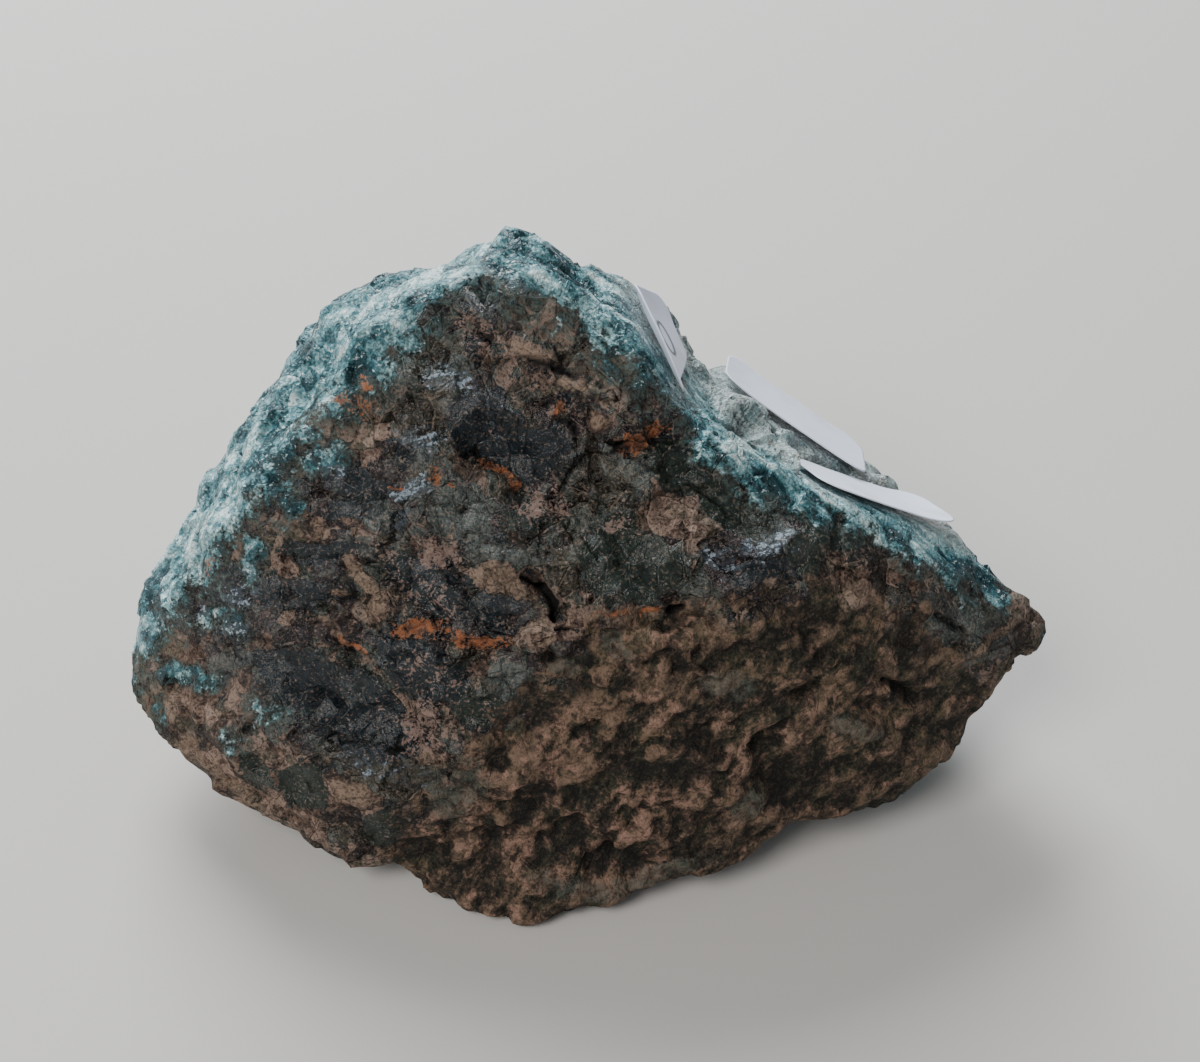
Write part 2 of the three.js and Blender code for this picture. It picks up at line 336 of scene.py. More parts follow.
class Node(Enum):
    """A shader node as it is used here: its type, inputs in order, output and settings."""

    PLACE = "TexCoord", (), "Object"
    FACING = "NewGeometry", (), "Normal"
    ATTRIBUTE = "Attribute", (), "Fac"
    NOISE = "TexNoise", ("Vector", "Scale", "Detail", "Roughness"), "Fac"
    CELLS = "TexVoronoi", ("Vector", "Scale"), "Color"
    CELL_EDGES = "TexVoronoi", ("Vector", "Scale"), "Distance", {"feature": "DISTANCE_TO_EDGE"}
    CHANNELS = "SeparateColor", ("Color",), "Red"
    MIX = "Mix", (0, 6, 7), 2, {"data_type": "RGBA"}
    BLEND = "Mix", (0, 2, 3), 0
    STRETCH = "MapRange", ("Value", "From Min", "From Max", "To Max"), "Result"
    RAMP = (
        "MapRange", ("Value", "From Min", "From Max"), "Result",
        {"interpolation_type": "SMOOTHSTEP"},
    )
    PLUS = "Math", (0, 1), "Value", {"operation": "ADD"}
    MINUS = "Math", (0, 1), "Value", {"operation": "SUBTRACT"}
    TIMES = "Math", (0, 1), "Value", {"operation": "MULTIPLY"}
    TIMES_PLUS = "Math", (0, 1, 2), "Value", {"operation": "MULTIPLY_ADD"}
    LARGER = "Math", (0, 1), "Value", {"operation": "MAXIMUM"}
    VECTOR_PLUS = "VectorMath", (0, 1), "Vector", {"operation": "ADD"}
    VECTOR_MINUS = "VectorMath", (0, 1), "Vector", {"operation": "SUBTRACT"}
    VECTOR_TIMES = "VectorMath", (0, "Scale"), "Vector", {"operation": "SCALE"}
    VECTOR_RUN = "VectorMath", (0, 1), "Value", {"operation": "DOT_PRODUCT"}
    UNIT_VECTOR = "VectorMath", (0,), "Vector", {"operation": "NORMALIZE"}
    BUMP = "Bump", ("Height", "Distance", "Strength", "Normal"), "Normal"
    SURFACE = (
        "BsdfPrincipled", ("Base Color", "Roughness", "Normal", "IOR", "Specular IOR Level"),
        "BSDF",
    )

    def __init__(
        self,
        kind: str,
        inputs: tuple[str | int, ...],
        output: str | int,
        settings: dict[str, str] | None = None,
    ) -> None:
        """Take the parts of the node's row.

        Args:
            kind: the node's type, without the first word that all types share.
            inputs: the names or numbers of the inputs in use.
            output: the name or number of the output in use.
            settings: the node's own settings.
        """
        self.kind = "ShaderNode" + kind
        self.inputs = inputs
        self.output = output
        self.settings = settings or {}


def per_mm(size: float) -> float:
    """The texture scale whose pattern repeats about every size millimetres."""
    return 1.0 / (size * MM)


@dataclass(frozen=True)
class Graph:
    """A material's node tree, which grows node by node."""

    tree: bpy.types.NodeTree

    def add(self, node: Node, *inputs: Value, **settings: str) -> Socket:
        """Add a shader node, and set or link its inputs.

        Args:
            node: which node it is, and how it is used.
            inputs: for each input, its value, or the output that feeds it. A string is a hex
                colour.
            settings: further settings.

        Returns:
            The output that the node is used for.
        """
        made = self.tree.nodes.new(node.kind)
        for name, setting in (node.settings | settings).items():
            setattr(made, name, setting)
        for name, value in zip(node.inputs, inputs):
            if isinstance(value, Socket):
                self.tree.links.new(value, made.inputs[name])
            else:
                made.inputs[name].default_value = rgba(value) if isinstance(value, str) else value
        return made.outputs[node.output]

    def summed(self, start: Value, *terms: tuple[Value, float]) -> Socket:
        """Add to a value each further one, less its middle of 0.5, times its weight.

        Args:
            start: the value to start from.
            terms: the further values, from 0 to 1, and their weights.

        Returns:
            The sum.
        """
        for value, weight in terms:
            start = self.add(Node.TIMES_PLUS, value, weight, start)
        return self.add(Node.MINUS, start, 0.5 * sum(weight for _, weight in terms))

    def layered(self, colour: Value, *layers: tuple[Value, float, Value, float, float]) -> Value:
        """Lay further colours over a colour, one after the other.

        Args:
            colour: the colour underneath.
            layers: for each, its colour, its greatest share, the value that brings it in, and the
                value's range from none of it to all of it. The range may run downwards.

        Returns:
            The colour on top.
        """
        for shade, most, value, none, full in layers:
            share = self.add(Node.RAMP, value, min(none, full), max(none, full))
            if full < none:
                share = self.add(Node.MINUS, 1.0, share)
            if most < 1.0:
                share = self.add(Node.TIMES, share, most)
            colour = self.add(Node.MIX, share, colour, shade)
        return colour

    def leaning(self, start: Value, colour: Socket, amount: Value) -> Socket:
        """Shift a vector by a random colour, less its middle, times an amount."""
        offset = self.add(Node.VECTOR_MINUS, colour, (0.5, 0.5, 0.5))
        return self.add(Node.VECTOR_PLUS, start, self.add(Node.VECTOR_TIMES, offset, amount))

    def strokes(self, place: Socket, along: Point, length: float, size: float) -> Socket:
        """Noise drawn out along a direction: the place less a share of its run that way.

        Args:
            place: where the noise is read.
            along: the direction.
            length: how many times as long as wide the strokes are.
            size: their width in mm.

        Returns:
            The noise, from 0 to 1.
        """
        axis = tuple(Vector(along).normalized())
        run = self.add(Node.VECTOR_RUN, place, axis)
        share = self.add(Node.TIMES, run, 1.0 / length - 1.0)
        squeezed = self.add(Node.VECTOR_PLUS, place, self.add(Node.VECTOR_TIMES, axis, share))
        return self.add(Node.NOISE, squeezed, per_mm(size), 3.0, 0.6)

    def finish(self, *inputs: Value) -> None:
        """Join a colour, a roughness, a normal and what else is given up to the outside."""
        shader = self.add(Node.SURFACE, *inputs)
        self.tree.links.new(shader, self.tree.nodes["Material Output"].inputs["Surface"])


def new_material(name: str) -> tuple[bpy.types.Material, Graph]:
    """Make a material whose node tree holds nothing but its output.

    Args:
        name: the material's name.

    Returns:
        The material, and its tree.
    """
    material = bpy.data.materials.new(name)
    material.use_nodes = True
    nodes = material.node_tree.nodes
    nodes.remove(nodes["Principled BSDF"])
    return material, Graph(material.node_tree)


# ---- finishes ----


class Kind(Enum):
    """What a patch or a seam of the surface is made of."""

    CRYSTAL = "blue-black glassy crystal"
    GREEN = "green-black glassy crystal"
    PALE = "grey cleavage face"
    # Its patches carry painted highlights: a bluish sheen and white glints.
    GLINT = "blue-black crystal with white glints"
    FILM = "greyish brown earthy film"
    TAN = "light tan film"
    PINK = "pinkish speckled film"
    RUST = "orange iron stain"
    TEAL = "teal rim showing through"
    DEEP = "clear dark teal crystal"
    WHITE = "white sugary vein"
    GAP = "open gap"
    LUMP = "grey-green rounded lump"


STONE_ATTRIBUTES = (
    "tone", "film", "tan", "pink", "rust", "glint", "pale", "green", "teal", "sugar", "slope",
    "deep", "white", "grain", "top", "lump", "hollow", "smooth",
)
# The soft noises of the stone's colours: the size of each in mm, and how much detail it has.
NOISE_DETAIL = {0.3: 2.0, 0.9: 4.0, 2.6: 4.0, 8.0: 3.0}


@dataclass(frozen=True)
class ApatiteFinish:
    """Massive apatite broken by hand: glassy to greasy crystal faces under a thin stained film.

    The glassy faces give small moving glints, the film stays dull, and the sugary rim of fine
    crystals glitters in the light. Highlights are also painted into the colour: a bluish sheen,
    white glints and white sparkles; and shade is painted into cracks, ledge drops and gaps.
    """

    crystal: str = "#1a2328"
    green: str = "#1e2923"
    plum: str = "#2e2528"
    pale: str = "#464f4c"
    pale_olive: str = "#454135"
    pale_light: str = "#5f645f"
    # Colours of painted highlights: a bluish sheen, white glints, and white sparkles on the teal
    # rim.
    shine: str = "#566470"
    glint: str = "#a2b2be"
    sparkle: str = "#deecec"
    film_dark: str = "#2b2320"
    film: str = "#644f43"
    film_olive: str = "#534e40"
    film_light_and_highlight: str = "#978072"
    tan: str = "#8b7765"
    pink: str = "#8e766b"
    rust: str = "#a4643f"
    rust_dark: str = "#5a3d30"
    teal_deep: str = "#1b4047"
    teal: str = "#487a82"
    teal_light: str = "#86adb1"
    sugar: str = "#d3e6e6"
    slope: str = "#a8b5b4"
    murk: str = "#26312f"
    murk_light: str = "#46544f"
    ground: str = "#13120a"
    grain_dark: str = "#3a2e25"
    grain: str = "#655443"
    grain_pink: str = "#957564"
    grain_olive: str = "#4a432b"
    grain_green: str = "#302f22"
    lump: str = "#505850"
    # Near-black for fine pits, and for the shade painted into cracks, ledge drops and gaps.
    gap: str = "#080706"
    ior: float = 1.63

    def material(self) -> bpy.types.Material:
        """Build the stone's material from the attributes that its surface carries.

        Returns:
            The material.
        """
        material, graph = new_material("massive_apatite")
        add, summed, layered = graph.add, graph.summed, graph.layered
        place = add(Node.PLACE)
        # What the surface is made of here, and soft random levels whose lumps are so many mm wide.
        here = {name: add(Node.ATTRIBUTE, attribute_name=name) for name in STONE_ATTRIBUTES}
        level = {
            size: add(Node.NOISE, place, per_mm(size), detail, 0.62)
            for size, detail in NOISE_DETAIL.items()
        }

        # The broken surface is a mosaic of plates, flats, chips and crumbs with bent edges.
        bent = graph.leaning(place, level[2.6].node.outputs["Color"], 0.8 * MM)
        cells = {size: add(Node.CELLS, bent, per_mm(size)) for size in (4.6, 2.1, 0.85, 0.4)}
        reds, greens, blues = {}, {}, {}
        for size, colour in cells.items():
            reds[size], greens[size], blues[size] = add(Node.CHANNELS, colour).node.outputs
        edge, crack = (
            add(Node.MINUS, 1.0, add(Node.RAMP, add(Node.CELL_EDGES, bent, per_mm(size)), *reach))
            for size, reach in ((2.1, (0.015, 0.07)), (4.6, (0.008, 0.03)))
        )
        streaks = graph.strokes(place, (0.75, -0.35, -0.56), 7.0, 1.3)
        rim_streaks = graph.strokes(place, (0.62, 0.55, 0.55), 3.0, 1.2)
        scratches = graph.strokes(place, (0.93, 0.26, 0.26), 5.0, 0.55)

        def speckled(colour: Value, dark: float, light: float) -> Value:
            """Set fine dark and light grains into a colour."""
            pits = (self.gap, dark, level[0.3], 0.5, 0.36)
            return layered(colour, pits, (self.film_light_and_highlight, light, level[0.3], 0.52, 0.68))

        # Glassy minerals: each plate has its own kind and its own depth of tone.
        pale = summed(here["pale"], (reds[4.6], 0.6), (reds[2.1], 0.5), (level[2.6], 0.8))
        pale = add(Node.TIMES_PLUS, here["smooth"], -0.7, pale)
        green = summed(here["green"], (greens[4.6], 0.6), (blues[2.1], 0.5), (level[2.6], 0.8))
        depth = summed(
            add(Node.TIMES_PLUS, here["smooth"], -0.3, 0.5),
            (here["tone"], 0.4), (blues[4.6], 0.5), (blues[2.1], 0.6), (reds[0.85], 0.5),
            (level[0.9], 0.5), (level[2.6], 0.5),
        )
        clear = layered(self.pale, (self.pale_olive, 1.0, level[8.0], 0.44, 0.54))
        colour = layered(
            self.plum,
            (self.crystal, 1.0, greens[2.1], 0.35, 0.6),
            (self.green, 1.0, green, 0.1, 0.16),
            (clear, 0.9, pale, 0.2, 0.26),
            (self.gap, 0.75, depth, 0.5, 0.1),
            (self.pale_light, 0.65, depth, 0.5, 1.0),
        )
        colour = speckled(colour, 0.55, 0.35)

        # The film is thin and torn: it stops at plate edges, and is olive, plum or light.
        film_level = summed(
            here["film"],
            (greens[4.6], 0.5), (greens[2.1], 0.5), (greens[0.85], 0.3),
            (level[2.6], 0.9), (level[0.9], 0.8), (level[0.3], 0.4),
        )
        film_tone = summed(
            0.5,
            (reds[4.6], 0.55), (blues[2.1], 0.7), (blues[0.85], 0.6),
            (level[2.6], 0.6), (level[0.9], 0.4),
        )
        plum = summed(0.5, (reds[2.1], 0.6), (level[8.0], 1.6))
        tan_zone = summed(here["tan"], (level[2.6], 1.2), (level[0.9], 1.4), (reds[0.85], 0.4))
        film_colour = layered(
            self.film_olive,
            (self.film, 1.0, plum, 0.38, 0.5),
            (self.film_dark, 0.9, film_tone, 0.5, 0.1),
            (self.film_light_and_highlight, 0.85, film_tone, 0.45, 0.85),
            (self.tan, 0.75, tan_zone, 0.4, 0.9),
        )
        film = add(Node.RAMP, film_level, 0.53, 0.58)
        rim = add(Node.MINUS, 1.0, add(Node.RAMP, film_level, 0.56, 0.62))
        rim = add(Node.TIMES, add(Node.TIMES, film, rim), 0.2)
        film_colour = speckled(add(Node.MIX, rim, film_colour, self.film_light_and_highlight), 0.6, 0.35)
        thick = add(Node.BLEND, add(Node.RAMP, film_level, 0.55, 1.0), 0.7, 0.97)
        colour = add(Node.MIX, add(Node.TIMES, film, thick), colour, film_colour)

        # The largest glassy faces are bare: dark, even, and cleanly edged, under a pale painted
        # sheen.
        glass_zone = summed(
            here["smooth"], (level[0.9], 1.4), (level[2.6], 0.6), (greens[0.85], 0.4)
        )
        glass_zone = add(Node.RAMP, glass_zone, 0.44, 0.52)
        sheen = summed(0.4, (blues[4.6], 0.5), (reds[2.1], 0.5), (level[2.6], 1.4))
        glass = layered(
            self.crystal,
            (self.green, 1.0, here["green"], 0.3, 0.6),
            (self.pale, 0.3, sheen, 0.3, 1.1),
            (self.gap, 0.4, level[0.9], 0.5, 0.36),
            (self.film_light_and_highlight, 0.35, level[0.3], 0.56, 0.66),
        )
        colour = add(Node.MIX, add(Node.TIMES, glass_zone, 0.92), colour, glass)
        speckle = summed(here["pink"], (level[0.9], 2.4), (level[0.3], 3.0), (blues[0.85], 0.7))
        colour = layered(colour, (self.pink, 0.75, speckle, 0.75, 1.05))

        # Some plate edges and cracks outside the glass are worn light, and others get a painted
        # shadow.
        unglazed = add(Node.MINUS, 1.0, add(Node.TIMES, glass_zone, 0.8))
        worn = add(Node.RAMP, level[0.9], 0.45, 0.6)
        for line, chance, low, most, shade in (
            (edge, reds[2.1], 0.5, 0.35, self.film_light_and_highlight),
            (crack, reds[4.6], 0.4, 0.5, self.tan),
        ):
            light = add(Node.TIMES, line, add(Node.RAMP, chance, low, 0.7))
            light = add(Node.TIMES, add(Node.TIMES, light, worn), unglazed)
            colour = add(Node.MIX, add(Node.TIMES, light, most), colour, shade)
        dark_edge, dark_crack = (
            add(Node.TIMES, line, add(Node.MINUS, 1.0, add(Node.RAMP, chance, low, 0.4)))
            for line, chance, low in ((edge, reds[2.1], 0.25), (crack, reds[4.6], 0.2))
        )
        shadow = add(Node.TIMES, add(Node.LARGER, dark_edge, dark_crack), unglazed)
        colour = add(Node.MIX, add(Node.TIMES, shadow, 0.5), colour, self.gap)

        # Lower front: worn pinkish and olive grains, with small green-black gaps between them.
        # The colour follows the grains' height: darker low in the gaps, partly as painted shade,
        # and a painted highlight on the highest tops.
        grain_zone = summed(here["grain"], (level[2.6], 1.0), (level[0.9], 0.8), (reds[2.1], 0.4))
        grain_zone = add(Node.RAMP, grain_zone, 0.3, 0.65)
        top = summed(
            add(Node.TIMES_PLUS, here["top"], 0.6, 0.14),
            (reds[0.85], 0.25), (rim_streaks, 1.5),
            (level[0.9], 2.0), (level[2.6], 0.8), (level[0.3], 0.5),
        )
        pinkness = add(Node.TIMES_PLUS, here["pink"], 0.35, level[8.0])
        pinkness = summed(pinkness, (greens[0.85], 0.35), (level[2.6], 0.6))
        olive = summed(0.5, (blues[2.1], 0.4), (level[2.6], 1.4), (level[8.0], 1.0))
        top_colour = layered(
            self.grain,
            (self.grain_pink, 1.0, pinkness, 0.4, 0.75),
            (self.grain_olive, 0.5, olive, 0.4, 0.7),
        )
        low_colour = layered(self.grain_dark, (self.grain_green, 1.0, olive, 0.4, 0.7))
        lump = summed(here["lump"], (level[2.6], 1.1), (level[0.9], 0.8))
        lump_colour = layered(self.grain_dark, (self.lump, 1.0, level[0.9], 0.35, 0.6))
        grains = layered(
            self.ground,
            (low_colour, 1.0, top, 0.0, 0.3),
            (top_colour, 1.0, top, 0.28, 0.85),
            # Painted highlight on the highest grain tops.
            (self.film_light_and_highlight, 0.25, top, 0.75, 1.2),
            (lump_colour, 0.6, lump, 0.35, 0.85),
        )
        colour = add(Node.MIX, grain_zone, colour, speckled(grains, 0.25, 0.1))

        def teals(start: Value, *terms: tuple[Value, float]) -> Value:
            """Teal crystal from clear and dark to sugary white, by a tone summed from terms.

            Args:
                start: the tone to start from.
                terms: the values that sway it, and their weights.

            Returns:
                The colour.
            """
            tone = summed(start, *terms)
            return layered(
                self.teal_deep,
                (self.teal, 1.0, tone, 0.1, 0.42),
                (self.teal_light, 1.0, tone, 0.4, 0.7),
                (self.sugar, 1.0, tone, 0.72, 1.0),
            )

        # Teal crest, streaked along its run; the rim beyond it is sugary, the back slope greyer.
        # The rim's pits are darker teal, partly as painted shade.
        accents = add(Node.TIMES_PLUS, here["white"], 0.25, add(Node.TIMES, here["deep"], -0.42))
        higher = add(Node.RAMP, here["teal"], 0.5, 1.3)
        sugary = teals(
            add(Node.PLUS, add(Node.TIMES_PLUS, higher, 0.13, accents), 0.41),
            (reds[0.4], 0.22), (level[0.3], 0.95), (reds[0.85], 0.36),
            (rim_streaks, 1.3), (level[2.6], 1.3), (blues[2.1], 0.5), (level[8.0], 1.0),
        )
        crest = teals(
            add(Node.PLUS, add(Node.TIMES_PLUS, higher, 0.3, accents), 0.22),
            (reds[0.4], 0.2), (level[0.3], 0.9), (level[0.9], 0.6),
            (streaks, 2.8), (level[2.6], 1.0), (blues[2.1], 0.3),
        )
        slope = layered(
            self.slope,
            (self.teal, 0.5, level[2.6], 0.45, 0.65),
            (self.film_light_and_highlight, 0.6, level[0.9], 0.52, 0.7),
            (self.film, 0.4, level[8.0], 0.52, 0.66),
            (self.teal_deep, 0.4, level[0.3], 0.5, 0.36),
        )
        teal = add(Node.MIX, here["sugar"], crest, sugary)
        teal = add(Node.MIX, here["slope"], teal, slope)
        teal_level = summed(
            here["teal"], (level[2.6], 1.4), (level[0.9], 1.0), (level[0.3], 0.6), (reds[2.1], 0.25)
        )
        teal_zone = add(Node.RAMP, teal_level, 0.34, 0.74)
        murk = speckled(layered(self.murk, (self.murk_light, 1.0, level[0.9], 0.4, 0.6)), 0.4, 0.2)
        colour = layered(colour, (murk, 0.85, teal_level, 0.05, 0.4))
        colour = add(Node.MIX, teal_zone, colour, teal)

        # Painted highlights: a bluish sheen and white glints on the glint patches, and white
        # sparkles over the teal rim, where crystal faces catch the light; then iron stains over
        # them.
        shine = summed(here["glint"], (level[0.9], 2.0), (scratches, 1.6), (reds[0.85], 0.4))
        sparkle = add(Node.LARGER, add(Node.TIMES, teal_zone, 0.64), here["glint"])
        sparkle = summed(sparkle, (scratches, 3.2), (level[0.3], 2.4), (blues[0.4], 0.55))
        rust_zone = summed(here["rust"], (level[0.9], 2.6), (level[0.3], 1.8), (greens[0.4], 0.5))
        rust_zone = add(Node.RAMP, rust_zone, 0.55, 0.7)
        rust_zone = add(Node.TIMES, rust_zone, add(Node.RAMP, here["rust"], 0.15, 0.3))
        rust_colour = layered(
            self.rust_dark,
            (self.rust, 1.0, level[0.9], 0.38, 0.62),
            (self.tan, 0.5, level[0.3], 0.5, 0.66),
        )
        colour = layered(
            colour,
            (self.shine, 0.4, shine, 0.55, 1.1),
            (add(Node.MIX, teal_zone, self.glint, self.sparkle), 0.72, sparkle, 1.12, 1.45),
        )
        colour = add(Node.MIX, add(Node.TIMES, rust_zone, 0.9), colour, rust_colour)
        # Painted shade: cracks, ledge drops, dark flat edges and the named gaps go towards black.
        colour = add(Node.MIX, here["hollow"], colour, self.gap)

        # Earthy film, grains and rust are dull; crystal faces keep a low, uneven roughness.
        dull = add(Node.LARGER, film, rust_zone)
        dull = add(Node.LARGER, dull, add(Node.TIMES, grain_zone, 0.95))
        dull = add(Node.TIMES, dull, add(Node.MINUS, 1.0, teal_zone))
        dull = add(Node.LARGER, dull, here["hollow"])
        glossy = add(Node.BLEND, add(Node.RAMP, level[0.9], 0.3, 0.7), 0.22, 0.44)
        roughness = add(Node.BLEND, dull, glossy, 0.8)

        # Each crystal face tilts the light its own way: the cell's random colour leans the normal.
        plain = add(Node.MINUS, 1.0, add(Node.LARGER, teal_zone, grain_zone))
        normal = add(Node.FACING)
        for size, lean in (
            (0.4, add(Node.TIMES, teal_zone, 0.75)),
            (0.85, 0.4),
            (2.1, add(Node.TIMES, plain, 0.7)),
            (4.6, add(Node.TIMES, plain, 0.4)),
        ):
            normal = graph.leaning(normal, cells[size], lean)
        heights = add(Node.TIMES_PLUS, level[0.9], 0.45, add(Node.TIMES, level[0.3], 0.3))
        heights = add(Node.TIMES_PLUS, film, 0.15, heights)
        heights = add(Node.TIMES_PLUS, add(Node.LARGER, edge, crack), -0.12, heights)
        strength = add(Node.BLEND, here["smooth"], 1.0, 0.6)
        bump = add(Node.BUMP, heights, 0.6 * MM, strength, add(Node.UNIT_VECTOR, normal))
        graph.finish(colour, roughness, bump, self.ior, 0.25)
        return material


@dataclass(frozen=True)
class PaperFinish:
    """Uncoated white label paper: matte, faintly fibrous and a little dirty, with pen ink on it."""

    paper: str = "#e3e9f8"
    dirt: str = "#b9b3ab"
    ink: str = "#3b3a44"

    def material(self) -> bpy.types.Material:
        """Build the paper's material; the ink follows the sheet's own attribute.

        Returns:
            The material.
        """
        material, graph = new_material("uncoated_label_paper")
        add, place = graph.add, graph.add(Node.PLACE)
        # Paper fibres are about 0.02 mm wide: drawn ten times coarser so that they show at all.
        fibres, smudge = (add(Node.NOISE, place, per_mm(size), 3.0, 0.5) for size in (0.25, 5.0))
        colour = add(Node.MIX, add(Node.STRETCH, smudge, 0.5, 0.8, 0.5), self.paper, self.dirt)
        colour = add(Node.MIX, add(Node.ATTRIBUTE, attribute_name="ink"), colour, self.ink)
        graph.finish(colour, 0.82, add(Node.BUMP, fibres, 0.03 * MM, 0.5))
        return material


@dataclass(frozen=True)
class FloorFinish:
    """Plain pale painted board, matte, so that it takes a soft shadow and no reflection."""

    colour: str = "#c9c6c2"

    def material(self) -> bpy.types.Material:
        """Build the floor's material.

        Returns:
            The material.
        """
        material = bpy.data.materials.new("pale_board")
        material.use_nodes = True
        shader = material.node_tree.nodes["Principled BSDF"]
        shader.inputs["Base Color"].default_value = rgba(self.colour)
        shader.inputs["Roughness"].default_value = 0.9
        return material


# ---- the stone ----


@dataclass(frozen=True)
class Patch:
    """An oval patch on the front: its middle (u, v), half sizes in mm, and its turn in degrees."""

    u: float
    v: float
    half_u: float
    half_v: float
    turn: float = 0.0
    strength: float = 1.0

    def share(self, face: Array) -> Array:
        """How much of the patch each point has: 1 in the middle, 0.5 on the oval, 0 far out.

        The share is 1 / (1 + r to the fourth), where r is the distance from the middle in units of
        the half sizes.

        Args:
            face: face coordinates in mm, one a row.

        Returns:
            The shares, times the patch's strength.
        """
        cos, sin = math.cos(math.radians(self.turn)), math.sin(math.radians(self.turn))
        local = (face - np.array([self.u, self.v])) @ np.array([[cos, sin], [-sin, cos]]).T
        radius = np.hypot(local[:, 0] / self.half_u, local[:, 1] / self.half_v)
        return self.strength / (1.0 + radius**4)


@dataclass(frozen=True)
class Ledge:
    """A step in the front: full height up to the line, a drop, and a slow climb on the open side.

    The line is given in face coordinates, and the open side lies to its left as it is followed.
    """

    line: Line
    height: float
    run: float
    # dark: the strength of the shadow painted along the drop, kept as a gap mark.
    dark: float = 0.8


@dataclass(frozen=True)
class Seam:
    """A crack, vein or stained edge along a line of face coordinates.

    A depth above 0 is a hollow, and below 0 a raised edge.
    """

    kind: Kind
    line: Line
    width: float
    depth: float = 0.0


@dataclass
class Ground:
    """Where the stone's points lie, the share of each kind of ground there, and their cells."""

    base: Array
    face: Array
    torn: Array
    on_front: Array
    rimward: Array
    teal: Array
    sugar: Array
    slope: Array
    grain: Array
    plates: Cells
    flats: Cells
    chips: Cells
    beads: Cells
    crystals: Cells
    splints: Cells
    fields: dict[Kind, Array]


# Inside this outline the front is brown and dark; outside it lies the teal rim and crest.
FRONT_OUTLINE = (
    (-47.0, 3.0), (-43.5, 7.5), (-40.0, 9.0), (-36.5, 13.0), (-34.5, 16.0), (-31.0, 19.0),
    (-28.0, 22.0), (-26.0, 26.5), (-22.5, 30.0), (-18.5, 32.0), (-16.5, 35.8), (-12.0, 38.8),
    (-8.0, 40.6), (-4.0, 39.2), (0.0, 35.8), (3.5, 32.5), (7.5, 29.8), (10.0, 27.4), (12.0, 24.8),
    (14.5, 22.6), (17.5, 20.8), (21.0, 18.9), (25.0, 17.8), (28.0, 17.0), (32.0, 14.6),
    (36.0, 12.6), (40.0, 11.6), (43.0, 11.4), (47.0, 15.0), (60.0, -40.0), (-60.0, -40.0),
)
# Inside this one the lower front is granular.
GRAIN_OUTLINE = (
    (-19.0, -14.0), (-14.0, -7.0), (-10.0, -2.5), (-4.0, 2.5), (1.0, 6.5), (6.0, 8.6),
    (13.0, 9.4), (22.0, 10.5), (32.0, 8.5), (37.0, 5.0), (40.0, 1.5), (48.0, -3.0), (60.0, -40.0),
    (-22.0, -40.0),
)

